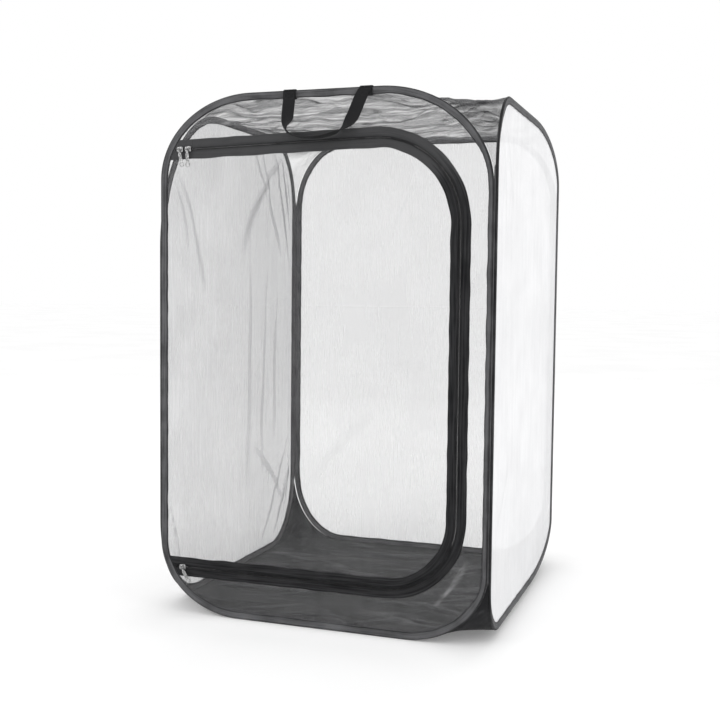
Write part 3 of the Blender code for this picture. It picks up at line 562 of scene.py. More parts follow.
def binding(wall, seed):
    """The section carried round the outline, with its lips rippled and drawn in at the corners."""
    line, place, length = even_steps(outline(wall), LOOP_STEPS)
    along, inward = loop_directions(line)
    bend = np.linalg.norm(np.roll(along, -6, axis=0) - np.roll(along, 6, axis=0), axis=1)
    tight = 0.25 + 0.75 * ease(bend / 0.25)
    section = binding_section()
    depth, out = section[:, 0], section[:, 1]
    lip = ease((depth - 4.5 * MM) / (7.0 * MM))
    long_wave = waves(place, length, 0.055, seed)[:, None] * 0.35 * MM
    side = np.sign(out)[None, :]
    near_wave = waves(place, length, 0.012, seed + 1)[:, None]
    far_wave = waves(place, length, 0.013, seed + 2)[:, None]
    gather = np.where(side > 0, near_wave, far_wave) * tight[:, None]
    rise = out[None] + lip * side * (0.12 + 0.16 * gather).clip(0.0, 0.5) * MM
    reach = depth[None] + lip * (long_wave + 0.18 * MM * gather) - 0.15 * MM * lip
    reach -= slimness(wall, line)[:, None] * depth[None] * lip
    flat = line[:, None, :] + reach[..., None] * inward[:, None, :]
    points = stand(wall, np.concatenate([flat, rise[..., None]], axis=-1))
    walk = walked(section)
    cloth = lattice(np.append(place, length), np.append(walk, walk[-1] + TAPE))
    return surface(points, cloth, close_rows=True, close_columns=True)


def stitches(line, out, pitch, length, radius, sink=0.35):
    """A run of stitches: each is a small spindle along the line, sunk at both ends."""
    walk = walked(line)
    start = np.arange(pitch / 2, walk[-1] - length, pitch)
    shares = (0.0, 0.18, 0.5, 0.82, 1.0)
    rings = np.stack([read_at(start + share * length, walk, line) for share in shares], axis=1)
    up = np.tile(out, (len(start), 1))
    side = np.cross(unit(rings[:, -1] - rings[:, 0]), up)
    lift = radius * np.array([-sink, 0.55, 0.8, 0.55, -sink])
    centre = rings + up[:, None] * lift[None, :, None]
    wide = radius * np.array([0.9, 1.0, 0.9])
    ring_up = np.array([1.0, 0.0, -1.0, 0.0])
    ring_side = np.array([0.0, 1.0, 0.0, -1.0])
    spread = np.multiply.outer(ring_up, up) + np.multiply.outer(ring_side, side)
    middle = centre[:, 1:4][None] + spread[:, :, None] * wide[None, None, :, None]
    middle = middle.transpose(1, 2, 0, 3).reshape(len(start), 12, 3)
    places = np.concatenate([centre[:, :1], middle, centre[:, 4:]], axis=1)
    turn = np.arange(4)
    beside = (turn + 1) % 4
    quads = np.concatenate([
        np.stack([1 + 4 * k + turn, 5 + 4 * k + turn, 5 + 4 * k + beside, 1 + 4 * k + beside], axis=1)
        for k in range(2)
    ])
    first = np.stack([np.zeros(4, int), 1 + turn, 1 + beside], axis=1)
    last = np.stack([np.full(4, 13), 9 + beside, 9 + turn], axis=1)
    return repeated(places, [quads, first, last])


def binding_seam(wall, side):
    """The row of stitches that closes the tape over the net, on one face of it."""
    line = even_steps(outline(wall), LOOP_STEPS)[0]
    inward = loop_directions(line)[1]
    line = line + SEAM_DEPTH * (1 - 0.88 * slimness(wall, line))[:, None] * inward
    loop = lifted(np.concatenate([line, line[:1]]), side * SEAM_RISE)
    return stitches(stand(wall, loop), side * outwards(wall), 3.6 * MM, 2.7 * MM, 0.22 * MM)


for number, wall in enumerate(HOOPS):
    tape = new_piece(wall + "_binding", [binding(wall, 11 + 7 * number)], BINDING)
    seam = new_piece(wall + "_binding_seam", [binding_seam(wall, 1), binding_seam(wall, -1)], BINDING_THREAD)
    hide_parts(wall + "_sleeve")
    for piece in (tape, seam):
        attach(piece, wall)

# %% [markdown]
# ## Nets
# The walls are a fine white net, so thin that the front one almost vanishes and the side
# ones are pale veils. Modelling each mesh would take millions of faces, so the net is a thin
# sheet whose threads are drawn by its finish: opaque at a thread, clear between. What has to
# be real is how it hangs. It is pulled square by the wire, so it is flat in the middle, and
# long shallow folds run from the corners, where the pull is uneven. Folds push the sheet out
# of its plane, and they also gather net on top of net, which is denser. That is why each sheet
# carries a value named fold: its finish thickens the threads there, and it also darkens the
# colour there as painted crease shade.

# %% Net finish
def netting(finish, pitch, low, high):
    """One at a thread, where either slanting family of lines is near, and nought between."""
    u, v, _ = finish.split(finish.cloth())
    left = ((u + v) * (math.pi / pitch)).sine().size()
    right = ((u - v) * (math.pi / pitch)).sine().size()
    return left.least(right).step(low, high, 1.0, 0.0)


def net_finish(name, dark, light, clear, thick, streaky, shaded=0.0):
    """Pale net, streaky along its threads; fold makes it denser and darkens it as painted crease shade, and
    shaded paints shade that makes it darker towards the cage's back.
    """
    finish = Finish(name, Roughness=0.75, Specular_IOR_Level=0.25)
    thread = netting(finish, 1.15 * MM, 0.10, 0.42)
    fold = finish.mark("fold")
    cloud = finish.noise(finish.place(), 9.0, 4.0).step(0.25, 0.75)
    wide = finish.noise(finish.stretched(finish.cloth(), (70.0, 5.0, 1.0)), 1.0, 3.0).step(0.3, 0.7)
    fine = finish.noise(finish.stretched(finish.cloth(), (330.0, 9.0, 1.0)), 1.0, 2.0).step(0.3, 0.7)
    streak = (wide * 0.55 + fine * 0.45 - 0.5) * streaky + 0.5
    _, depth, _ = finish.split(finish.place())
    shade = (depth + (cloud - 0.5) * 0.10).step(-0.06, 0.20) * shaded
    # fold darkens the colour as painted crease shade, and shade is painted shade towards the back
    tone = (cloud * 0.4 + streak * 0.6 - fold * 0.9 - shade).step(0.0, 1.0)
    finish.feed("Base Color", finish.blend(tone, dark, light))
    cover = (thread * (thick - clear) + clear + (streak - 0.5) * 0.12).most(0.02)
    finish.feed("Alpha", cover + fold * (0.95 - cover))
    finish.bump(thread * 0.6 + streak, 0.2 * MM, 0.5)
    return finish.material


# %% Net sheets
def packed_shares(count, pull):
    """Shares from nought to one that lie closer together towards both ends."""
    share = np.linspace(0.0, 1.0, count)
    return share - pull * np.sin(2 * math.pi * share) / (2 * math.pi)


def wall_grid(wall, inset, rows, columns):
    """Rows of even points between the two sides of the outline, close together near its ends."""
    edge = outline(wall, inset)
    half = len(edge) // 2
    height = edge[:, 1].min() + packed_shares(rows, 0.8) * np.ptp(edge[:, 1])
    low = np.interp(height, edge[:half, 1], edge[:half, 0])
    high = np.interp(height, edge[half:, 1][::-1], edge[half:, 0][::-1])
    across = low[:, None] + np.linspace(0.0, 1.0, columns)[None] * (high - low)[:, None]
    return across, np.broadcast_to(height[:, None], across.shape).copy()


def edge_distance(across, up, edge):
    """How far each point lies from the nearest point of an outline."""
    spots = np.stack([across.ravel(), up.ravel()], axis=1)
    parts = np.array_split(spots, 24)
    near = [np.linalg.norm(part[:, None] - edge[None], axis=2).min(axis=1) for part in parts]
    return np.concatenate(near).reshape(across.shape)


def creases(across, up, lines):
    """Folds along given lines: each is a ridge that is highest midway and dies out at its ends.

    A line is (start, end, bow, width, height).  Returns the height of the cloth off its plane
    and the fold value, which is narrower and counts net that lies on net; the finishes also
    darken the colour by it as painted crease shade.
    """
    rise = np.zeros_like(across)
    fold = np.zeros_like(across)
    for start, end, bow, width, height in lines:
        start, run = np.array(start), np.array(end) - np.array(start)
        length = np.linalg.norm(run)
        run /= length
        x, y = across - start[0], up - start[1]
        place = (x * run[0] + y * run[1]) / length
        held = np.clip(place, 0.0, 1.0)
        off = x * run[1] - y * run[0] - bow * np.sin(math.pi * held)
        swell = np.sin(math.pi * held) ** 0.7 * (place > 0) * (place < 1)
        spread = width * (0.45 + 0.75 * held)
        rise += height * swell * np.exp(-((off / spread) ** 2))
        strength = min(1.0, abs(height) / (6 * MM))
        fold += swell * np.exp(-((off / (0.32 * spread)) ** 2)) * strength
    return rise, np.clip(fold, 0.0, 1.0)


def wall_sheet(name, wall, across, up, out, fold, finish):
    """A net piece from its grids of wall coordinates and its fold value."""
    points = stand(wall, np.stack([across, up, out], axis=-1))
    shape = surface(points, np.stack([across, up], axis=-1))
    return new_piece(name, [shape], finish, {"fold": fold.ravel()})


def net_sheet(name, wall, lines, seed, slack, finish, rows=200, columns=120):
    """One wall's net: flat at its seam, softly uneven inside it, creased along its lines."""
    across, up = wall_grid(wall, NET_INSET, rows, columns)
    seam = even_steps(outline(wall, NET_INSET), 700)[0]
    free = ease((edge_distance(across, up, seam) - 5 * MM) / (45 * MM))
    rise, fold = creases(across, up, lines)
    wide = cloudy(across, up * 0.35, 0.11, seed) * slack
    fine = cloudy(across, up * 0.25, 0.035, seed + 1) * slack * 0.3
    return wall_sheet(name, wall, across, up, free * (wide + fine + rise), fold * free, finish)


LEFT_FOLDS = [
    ((0.170, 0.895), (0.272, 0.600), 0.012, 0.009, 9 * MM),
    ((0.205, 0.885), (0.284, 0.660), 0.010, 0.007, 8 * MM),
    ((0.232, 0.870), (0.288, 0.700), 0.008, 0.006, 8 * MM),
    ((0.110, 0.890), (0.215, 0.640), 0.012, 0.012, 6 * MM),
    ((0.062, 0.890), (0.140, 0.760), 0.006, 0.010, 5 * MM),
    ((0.222, 0.862), (0.020, 0.640), 0.020, 0.030, 4 * MM),
    ((-0.250, 0.800), (-0.130, 0.560), -0.012, 0.018, 3 * MM),
    ((-0.262, 0.790), (-0.200, 0.640), -0.008, 0.010, 3 * MM),
    ((-0.265, 0.120), (-0.190, 0.020), 0.004, 0.006, 4 * MM),
    ((0.276, 0.190), (0.180, 0.020), 0.008, 0.008, 8 * MM),
    ((0.270, 0.250), (0.120, 0.020), 0.010, 0.009, 6 * MM),
    ((0.284, 0.260), (0.235, 0.050), 0.006, 0.006, 7 * MM),
    ((-0.276, 0.230), (-0.215, 0.040), 0.006, 0.006, 7 * MM),
    ((0.240, 0.080), (0.080, 0.240), 0.012, 0.022, 3 * MM),
    ((0.150, 0.620), (0.120, 0.180), 0.010, 0.020, 3 * MM),
    ((0.060, 0.700), (0.050, 0.150), -0.008, 0.022, 2.5 * MM),
    ((0.200, 0.560), (0.185, 0.240), 0.008, 0.016, 3.5 * MM),
]
MIRRORED_FOLDS = [((-u, v), (-p, q), -bow, width, -height)
                  for (u, v), (p, q), bow, width, height in LEFT_FOLDS]
# One white net, finished as lit and shaded copies: the left wall darker as painted shade, the right paler as
# painted light, the rear and front in between.
REAR_NET = net_finish("rear_net", (0.64, 0.64, 0.65), (0.88, 0.88, 0.89), 0.30, 0.64, 0.40)
SHADE_NET = net_finish("shade_net", (0.36, 0.36, 0.37), (0.74, 0.74, 0.75), 0.40, 0.88, 0.9, 0.50)
RIGHT_NET = net_finish("painted_lit_net", (0.80, 0.80, 0.81), (0.94, 0.94, 0.95), 0.86, 0.95, 0.25)
FRONT_NET = net_finish("front_net", (0.60, 0.60, 0.61), (0.80, 0.80, 0.81), 0.02, 0.15, 0.3)

left_net = net_sheet("left_net_sheet", "left", MIRRORED_FOLDS, 31, 1.6 * MM, SHADE_NET)
rear_net = net_sheet("rear_net_sheet", "rear", [
    ((-0.25, 0.80), (-0.10, 0.55), 0.01, 0.03, 0.7 * MM),
    ((0.26, 0.12), (0.10, 0.30), 0.01, 0.03, 0.7 * MM),
], 47, 0.7 * MM, REAR_NET)
right_net = net_sheet("right_net_sheet", "right", [
    ((-0.255, 0.845), (-0.215, 0.640), 0.008, 0.012, 3.5 * MM),
    ((-0.235, 0.865), (-0.150, 0.700), 0.010, 0.018, 3.0 * MM),
    ((0.262, 0.770), (0.235, 0.500), 0.010, 0.014, 3.0 * MM),
    ((-0.265, 0.150), (-0.170, 0.330), 0.010, 0.016, 2.5 * MM),
    ((0.250, 0.090), (0.130, 0.250), 0.010, 0.020, 2.5 * MM),
], 59, 1.2 * MM, RIGHT_NET)
for piece, wall in ((left_net, "left"), (rear_net, "rear"), (right_net, "right")):
    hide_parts(wall + "_net")
    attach(piece, wall)

# %% [markdown]
# ## The zip's line
# The zip follows the door on three sides: nearly level runs at the top and the bottom, an
# upright run at the right, and two round corners. Its tapes, coils, stitches and the nets'
# edges all lie at some offset from that one line, so the line is a function of the offset.
# It is made of the same number of steps for every offset, which lets a strip of tape be a
# grid: one row per step, one column per offset.

# %% The zip's line at any offset
LIP_END = 13.3 * MM
TAPE_EDGE = 16.7 * MM
TAPE_BACK = 0.55 * MM
TAPE_FACE = 1.15 * MM
COIL_LEVEL = 2.65 * MM
ZIP_RIGHT = SPAN / 2 - 0.0522
ZIP_KNOTS = np.array([[-SPAN / 2, 0.808], [ZIP_RIGHT, 0.822], [ZIP_RIGHT, 0.082], [-SPAN / 2, 0.082]])
ZIP_RUNS = unit(np.diff(ZIP_KNOTS, axis=0))
ZIP_SIDES = np.stack([-ZIP_RUNS[:, 1], ZIP_RUNS[:, 0]], axis=1)
ZIP_RADII = (None, 0.142, 0.120)
ZIP_STEP = 2.5 * MM
RUN_STEPS = [round(length / ZIP_STEP) for length in (0.43, 0.50, 0.43)]
LEFT_SLIDER_X, RIGHT_SLIDER_X, LOWER_SLIDER_X = -0.2560, -0.2405, -0.2507


def run_point(run, x, offset):
    """The point of a level run at x, moved outwards from the door by an offset."""
    along = (x - ZIP_KNOTS[run, 0]) / ZIP_RUNS[run, 0]
    return ZIP_KNOTS[run] + along * ZIP_RUNS[run] + offset * ZIP_SIDES[run]


def left_side(height, inset):
    """How far across the front hoop's left side lies at a height, moved in by an inset."""
    edge = outline("front", inset)[: 2 * (CORNER_STEPS + 1)]
    return np.interp(height, edge[:, 1], edge[:, 0])


def zip_end(run, offset, inset=LIP_END):
    """Where a line beside the zip meets the front binding: a few steps of closing in."""
    x = -SPAN / 2
    for _ in range(12):
        spot = run_point(run, x, offset)
        x += left_side(spot[1], inset) - spot[0]
    return float(x)


def zip_corner(corner, offset, steps):
    """The round corner between two runs: a circle's arc, moved outwards by an offset."""
    before = ZIP_SIDES[corner - 1]
    turn = math.acos(float(ZIP_RUNS[corner - 1] @ ZIP_RUNS[corner]))
    radius = ZIP_RADII[corner]
    centre = ZIP_KNOTS[corner] - radius * math.tan(turn / 2) * ZIP_RUNS[corner - 1] - radius * before
    angle = math.atan2(before[1], before[0]) - np.linspace(0.0, turn, steps + 1)
    return centre + (radius + offset) * np.stack([np.cos(angle), np.sin(angle)], axis=1)


def zip_line(offset, top_x, bottom_x):
    """The whole line at an offset: a run, a corner, a run, a corner, a run."""
    ends = run_point(0, top_x, offset)[None], run_point(2, bottom_x, offset)[None]
    parts = [ends[0], zip_corner(1, offset, 48), zip_corner(2, offset, 48), ends[1]]
    pieces = []
    for number, count in enumerate(RUN_STEPS):
        share = np.linspace(0.0, 1.0, count + 1)[1:-1, None]
        start, end = parts[number][-1], parts[number + 1][0]
        pieces += [parts[number], start + share * (end - start)]
    return np.concatenate([*pieces, parts[-1]])


def strip_cloth(line, offsets):
    """Cloth coordinates of a strip: how far along its first line, and the offset across."""
    return lattice(walked(line), offsets)


def door_ends(offset, inset=LIP_END):
    """Where the door's side of the zip ends, at the top and at the bottom."""
    return zip_end(0, offset, inset), zip_end(2, offset, inset)


print("zip runs", round(walked(zip_line(0.0, *door_ends(0.0)))[-1], 3), "m")

# %% [markdown]
# ## The front net and the door
# The door is a D cut out of the front net, and at the hinge it simply stays part of it. Both
# sheets end under the zip's tapes. The net round the door is a C: each row of its grid goes
# from the zip's line out to the binding. The door's rows go up from its lower edge to its
# upper edge, and its left side bends where the hoop does. The door's sheet starts inside the
# binding, which belongs to the front.

# %% Front net and door net
def front_net_sheet(rows=420, columns=16):
    """The C-shaped net: straight rows from the zip's line to the hoop's outline."""
    inner = zip_line(NET_INSET, *door_ends(NET_INSET, NET_INSET))
    hoop = np.roll(outline("front", NET_INSET), -CORNER_STEPS - 1, axis=0)
    above, below = inner[0, 1] + 4 * MM, inner[-1, 1] - 4 * MM
    keep = (hoop[:, 0] > 0) | (hoop[:, 1] > above) | (hoop[:, 1] < below)
    inner = even_steps(inner, rows, closed=False)[0]
    outer = even_steps(hoop[keep], rows, closed=False)[0]
    share = np.linspace(0.0, 1.0, columns)[None, :, None]
    flat = inner[:, None] * (1 - share) + outer[:, None] * share
    across, up = flat[..., 0], flat[..., 1]
    free = np.sin(math.pi * share[..., 0]) ** 2 * np.ones_like(across)
    rise, fold = creases(across, up, [
        ((-0.225, 0.835), (-0.120, 0.868), 0.002, 0.005, 2.0 * MM),
        ((0.262, 0.720), (0.254, 0.500), 0.004, 0.008, 1.5 * MM),
        ((0.200, 0.050), (0.262, 0.140), 0.004, 0.008, 2.0 * MM),
    ])
    out = free * (cloudy(across, up, 0.06, 71) * 0.9 * MM + rise)
    return wall_sheet("front_net_sheet", "front", across, up, out, fold * free, FRONT_NET)


def door_net_sheet(rows=150, columns=110):
    """The D-shaped net: upright columns between the zip's lower and upper lines."""
    rim = zip_line(-NET_INSET, *door_ends(-NET_INSET, NET_INSET))
    half = len(rim) // 2
    share = np.linspace(0.0, 1.0, columns)
    packed = share + 0.85 * np.sin(math.pi * share) / math.pi * share
    nominal = rim[:, 0].min() + packed * np.ptp(rim[:, 0])
    top = np.interp(nominal, rim[:half, 0], rim[:half, 1])
    low = np.interp(nominal, rim[half:, 0][::-1], rim[half:, 1][::-1])
    up = low + np.linspace(0.0, 1.0, rows)[:, None] * (top - low)
    left = left_side(up, NET_INSET)
    place = (nominal - nominal[0]) / np.ptp(nominal)
    across = left + place * (nominal[-1] - left)
    from_ends = np.minimum(place, 1 - place) * np.ptp(nominal)
    free = ease(np.minimum(from_ends, np.minimum(up - low, top - up)) / (50 * MM))
    rise, fold = creases(across, up, [
        ((-0.262, 0.792), (-0.190, 0.660), 0.006, 0.010, 1.6 * MM),
        ((-0.270, 0.120), (-0.190, 0.190), 0.004, 0.010, 1.6 * MM),
        ((0.190, 0.780), (0.120, 0.640), 0.006, 0.014, 1.5 * MM),
    ])
    out = free * (cloudy(across, up * 0.4, 0.14, 83) * 1.1 * MM + rise)
    return wall_sheet("door_net_sheet", "front", across, up, out, fold * free, FRONT_NET)


front_net = front_net_sheet()
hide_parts("front_net")
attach(front_net, "front")
door_net = door_net_sheet()
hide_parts("door_net")
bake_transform(door_net)

# %% [markdown]
# ## Zip tapes
# A zip tape is a dense woven ribbon with fine ribs along it. It is sewn to the net near its
# outer edge and to the coil near its inner edge, and because it is bent round the door's
# corners its outer edge is never quite straight. A strip of the right thickness is made as
# a grid that goes over the face and back under it, and its outer half is lifted and drawn
# about by slow waves. The closed ends of the zip, past the sliders, belong to the door, so
# the door's tape carries both of them.

# %% Zip tape finish
def tape_finish():
    """Near-black ribbon: ribs along it, finer cross threads, paler along the top of the door."""
    finish = Finish("zip_tape", Specular_IOR_Level=0.08, Sheen_Weight=0.02, Sheen_Roughness=0.5)
    along, across, _ = finish.split(finish.cloth())
    rib = (across * (2 * math.pi / (1.05 * MM))).sine().step(-0.8, 0.8)
    pick = (along * (2 * math.pi / (0.55 * MM))).sine().step(-0.8, 0.8)
    cloud = finish.noise(finish.place(), 35.0, 4.0)
    streak = finish.noise(finish.stretched(finish.cloth(), (12.0, 330.0, 1.0)), 1.0, 4.0)
    _, _, height = finish.split(finish.place())
    tone = (rib * 0.15 + pick * 0.05 + cloud * 0.25 + streak * 1.0).step(0.45, 0.95)
    # darker below the top run of the zip, paler along the top of the door
    paler_at_top = tone * (0.55 + 0.45 * height.step(0.70, 0.79)) + height.step(0.74, 0.80) * 0.65
    finish.feed("Base Color", finish.blend(paler_at_top, (0.003, 0.003, 0.004), (0.062, 0.062, 0.064)))
    finish.feed("Roughness", 0.58 + streak * 0.25)
    finish.bump(rib * 0.8 + pick * 0.4 + cloud, 0.25 * MM, 0.8)
    return finish.material


ZIP_TAPE = tape_finish()
ZIP_THREAD = thread_finish("zip_thread", (0.05, 0.05, 0.052))


# %% Zip tape pieces
TUCK = 0.02 * MM


def closed_tape(line, flat, offsets, face, back, flip):
    """A strip of tape as one closed grid: over its face, and back under it."""
    over, under = (np.dstack([flat, level]) for level in (face, back))
    points = stand("front", np.concatenate([over, under[:, ::-1]], axis=1))
    around = np.concatenate([offsets, offsets[::-1], offsets[:1]])
    return surface(points, strip_cloth(line, around), close_columns=True, caps=True, flip=flip)


def tape_strip(side, ends, seed):
    """A strip of tape: ends gives the x of its upper and lower end at every offset."""
    offsets = side * np.linspace(0.25 * MM, TAPE_EDGE, 13)
    lines = np.stack([zip_line(offset, *ends(offset)) for offset in offsets], axis=1)
    cloth = strip_cloth(lines[:, 0], offsets)
    place = cloth[:, :, 0]
    loose = ((np.abs(cloth[:, :, 1]) - 4 * MM) / (12.7 * MM)).clip(0.0, 1.0) ** 1.6
    slack = 0.55 * MM * loose * ease(np.minimum(place, place.max() - place) / (40 * MM))
    sway = waves(place, 3.0, 0.075, seed) * slack
    lift = (0.55 + 0.55 * waves(place, 3.0, 0.042, seed + 1)).clip(0.0, 2.0) * slack
    flat = lines + unit(np.gradient(lines, axis=1)) * sway[..., None]
    return closed_tape(lines[:, 0], flat, offsets, TAPE_FACE + lift, TAPE_BACK + lift, side < 0)


def parked_strip(run, reach):
    """The frame side of a closed end: a short strip from the binding to the slider's far side."""
    offsets = np.linspace(-0.5 * MM, TAPE_EDGE, 13)
    share = np.linspace(0.0, 1.0, 16)[:, None, None]
    start = np.array([run_point(run, zip_end(run, offset), offset) for offset in offsets])
    end = np.array([run_point(run, reach, offset) for offset in offsets])
    end[0] = run_point(run, zip_end(run, 0.0) + 3.5 * MM, offsets[0])
    lines = start[None] + share * (end - start)[None]
    face, back = (np.full(lines.shape[:2], level) for level in (TAPE_FACE - TUCK, TAPE_BACK + TUCK))
    return closed_tape(lines[:, 0], lines, offsets, face, back, run == 2)


UPPER_REACH = RIGHT_SLIDER_X + 7.5 * MM
LOWER_REACH = LOWER_SLIDER_X + 7.5 * MM


def frame_ends(_):
    """Where the frame's side of the zip ends, just past the parked sliders at any offset."""
    return UPPER_REACH + 0.3 * MM, LOWER_REACH + 0.3 * MM


def tape_seams(side, ends):
    """Two rows of stitches on the tape's face: beside the coil, and near the outer edge."""
    rows = []
    for offset, level in ((5.7 * MM, TAPE_FACE), (13.6 * MM, TAPE_FACE + 0.25 * MM)):
        line = stand("front", lifted(zip_line(side * offset, *ends(side * offset)), level))
        rows.append(stitches(line, outwards("front"), 3.2 * MM, 2.5 * MM, 0.20 * MM))
    return rows


parked_strips = [parked_strip(0, UPPER_REACH), parked_strip(2, LOWER_REACH)]
frame_tape = new_piece("frame_tape_strip", [tape_strip(1, frame_ends, 91)], ZIP_TAPE)
door_tape = new_piece("door_tape_strip", [tape_strip(-1, door_ends, 95), *parked_strips], ZIP_TAPE)
frame_seam = new_piece("frame_tape_seam", tape_seams(1, frame_ends), ZIP_THREAD)
door_seam = new_piece("door_tape_seam", tape_seams(-1, door_ends), ZIP_THREAD)
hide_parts("frame_zip_tape")
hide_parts("door_zip_tape")
for piece, body in ((frame_tape, "front"), (frame_seam, "front"), (door_tape, "door"), (door_seam, "door")):
    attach(piece, body)

# %% [markdown]
# ## Coils
# The teeth of this zip are one long nylon thread wound in a spiral, one spiral per tape. Shut,
# each spiral's turns sit between the other's. A screw modifier can't follow a bent line, so
# the spiral is worked out directly: a point goes round the line once per pitch, and a small
# three-sided section is carried along it. Half a pitch between the two spirals lets them mesh.

# %% Coil finish and pieces
def coil_finish():
    """Black nylon: smooth, a little glossy, with a few paler scuffs from the sliders."""
    finish = Finish("zip_coil", Specular_IOR_Level=0.5)
    scuff = finish.noise(finish.place(), 160.0, 3.0).step(0.45, 0.75)
    finish.feed("Base Color", finish.blend(scuff, (0.014, 0.014, 0.015), (0.060, 0.060, 0.062)))
    finish.feed("Roughness", 0.30 + scuff * 0.3)
    finish.bump(finish.noise(finish.place(), 900.0, 2.0), 0.05 * MM, 0.5)
    return finish.material


ZIP_COIL = coil_finish()


COIL_SIDE = 0.95 * MM
COIL_PITCH, COIL_STEPS = 1.5 * MM, 9
COIL_SWING, COIL_RISE, COIL_THREAD = 1.45 * MM, 0.85 * MM, 0.30 * MM


def coil(line, guide, zero=0, phase=0.0):
    """A spiral round a flat line: sideways and outwards go round an oval once per pitch.

    Turns are counted along the guide, the zip's middle line, so both spirals stay in step.
    """
    walk = walked(guide)
    walk -= walk[zero]
    place = np.linspace(walk[0], walk[-1], int((walk[-1] - walk[0]) / COIL_PITCH * COIL_STEPS))
    spot = read_at(place, walk, line)
    ahead = unit(np.gradient(spot, axis=0))
    sideways = np.stack([-ahead[:, 1], ahead[:, 0]], axis=1)
    angle = 2 * math.pi * (place / COIL_PITCH + phase)
    swing = COIL_SWING * np.cos(angle)
    rise = COIL_LEVEL + COIL_RISE * np.sin(angle)
    path = np.column_stack([spot + swing[:, None] * sideways, rise])
    out = unit(path - lifted(spot, COIL_LEVEL))
    beside = np.cross(unit(np.gradient(path, axis=0)), out)
    ring = np.radians([0.0, 120.0, 240.0])[None, :, None]
    section = np.cos(ring) * out[:, None] + np.sin(ring) * beside[:, None]
    points = stand("front", path[:, None] + COIL_THREAD * section)
    return surface(points, None, close_columns=True, caps=True)


def long_coil(side, top_x, bottom_x, phase):
    """A spiral round the whole door, in step with the other one from the first corner on."""
    guide, line = zip_line(0.0, top_x, bottom_x), zip_line(side * COIL_SIDE, top_x, bottom_x)
    return coil(line, guide, RUN_STEPS[0], phase)


start_up = zip_end(0, 2.9 * MM) + 1.5 * MM
start_low = zip_end(2, 2.9 * MM) + 1.5 * MM
frame_spiral = long_coil(1, UPPER_REACH + 0.6 * MM, LOWER_REACH + 0.6 * MM, 0.0)
door_spiral = long_coil(-1, start_up, start_low, 0.5)
frame_coil = new_piece("frame_coil_spiral", [frame_spiral], ZIP_COIL, smooth_angle=80)
door_coil = new_piece("door_coil_spiral", [door_spiral], ZIP_COIL, smooth_angle=80)
parked = []
for name, run, start, reach in (("upper", 0, start_up, UPPER_REACH), ("lower", 2, start_low, LOWER_REACH)):
    short = np.stack([run_point(run, x, COIL_SIDE) for x in np.linspace(start, reach, 12)])
    parked.append(new_piece(name + "_parked_spiral", [coil(short, short)], ZIP_COIL, smooth_angle=80))
    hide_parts(name + "_parked_coil")
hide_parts("frame_zip_coil")
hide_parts("door_zip_coil")
for piece, body in ((frame_coil, "front"), (door_coil, "door"), (parked[0], "door"), (parked[1], "door")):
    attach(piece, body)

# %% [markdown]
# ## Small metal shapes
# Sliders, pulls and ferrules are too small to deserve a subdivision surface each. Two helpers
# make them all: a plate is a flat outline raised between two levels with its edges rounded,
# and a bar is a round or oval section carried along a flat path. The slider's own body needs a
# third, a channel section carried along its length and drawn in at both ends.

# %% Plates and bars
def plate(edge, low, high, bevel=0.25 * MM, put=None):
    """An outline raised from low to high: at each edge a quarter circle takes the corner off."""
    turn = np.radians([0.0, 30.0, 60.0, 90.0])
    inset = bevel * (1 - np.sin(turn))
    lift = bevel * (1 - np.cos(turn))
    inward = -loop_directions(edge)[1]
    rings = [*zip(inset, low + lift), *zip(inset[::-1], high - lift[::-1])]
    points = np.stack([lifted(edge + off * inward, level) for off, level in rings])
    return surface(put(points) if put else points, close_columns=True, caps=True)


def bar(path, normal, wide, deep=None, sides=10, closed=False, put=None):
    """An oval section along a flat path: wide across the path's plane, deep within it."""
    deep = wide if deep is None else deep
    if closed:
        along = np.roll(path, -1, axis=0) - np.roll(path, 1, axis=0)
    else:
        along = np.gradient(path, axis=0)
    normal = np.broadcast_to(np.array(normal, dtype=float), path.shape)
    beside = np.cross(unit(along), normal)
    ring = np.linspace(0.0, 2 * math.pi, sides, endpoint=False)[None, :, None]
    points = path[:, None] + wide * np.cos(ring) * normal[:, None] + deep * np.sin(ring) * beside[:, None]
    return surface(put(points) if put else points, close_rows=closed, close_columns=True, caps=not closed)


def on_run(run, x, angle, lift=0.0):
    """A mover: turns a small shape in the front wall's plane and puts it on the zip's run at x."""
    spot = run_point(run, x, 0.0)

    def move(local):
        across = spot[0] + local[..., 0] * math.cos(angle) - local[..., 1] * math.sin(angle)
        up = spot[1] + local[..., 0] * math.sin(angle) + local[..., 1] * math.cos(angle)
        return stand("front", np.stack([across, up, local[..., 2] + lift], axis=-1))

    return move


# %% [markdown]
# ## Sliders and pulls
# Two sliders stand side by side at the top left, and one at the bottom left, so the door can
# be opened from either end. A slider is a cast channel that wraps both coils: a shield-shaped
# top, two side flanges, a flat back plate behind the tape and a post between them. A wire
# bail arches over it, and the pull hangs from the bail by an eye. The pulls are pressed from
# sheet: a neck, a flat tab with a raised rim and a ring at the foot. All of it is nickel plated,
# so the finish is a metal whose colour and gloss change a little where fingers have dulled it.

# %% Metal finishes
def metal_finish(name, dark, light, rough, grain=420.0):
    """Plated metal: brighter and smoother where it is rubbed, duller and darker elsewhere."""
    finish = Finish(name, Metallic=0.95)
    wear = finish.noise(finish.place(), grain, 4.0).step(0.35, 0.68)
    fine = finish.noise(finish.place(), grain * 7.0, 2.0)
    finish.feed("Base Color", finish.blend(wear, dark, light))
    finish.feed("Roughness", rough + fine * 0.16 - wear * 0.10)
    finish.bump(fine + wear * 0.5, 0.03 * MM, 0.5)
    return finish.material


NICKEL = metal_finish("slider_metal", (0.16, 0.16, 0.16), (0.55, 0.55, 0.55), 0.36)
SPRING = metal_finish("spring_steel", (0.20, 0.20, 0.22), (0.42, 0.42, 0.44), 0.34, 260.0)
CRIMP = metal_finish("ferrule_steel", (0.36, 0.36, 0.36), (0.62, 0.62, 0.62), 0.38, 300.0)

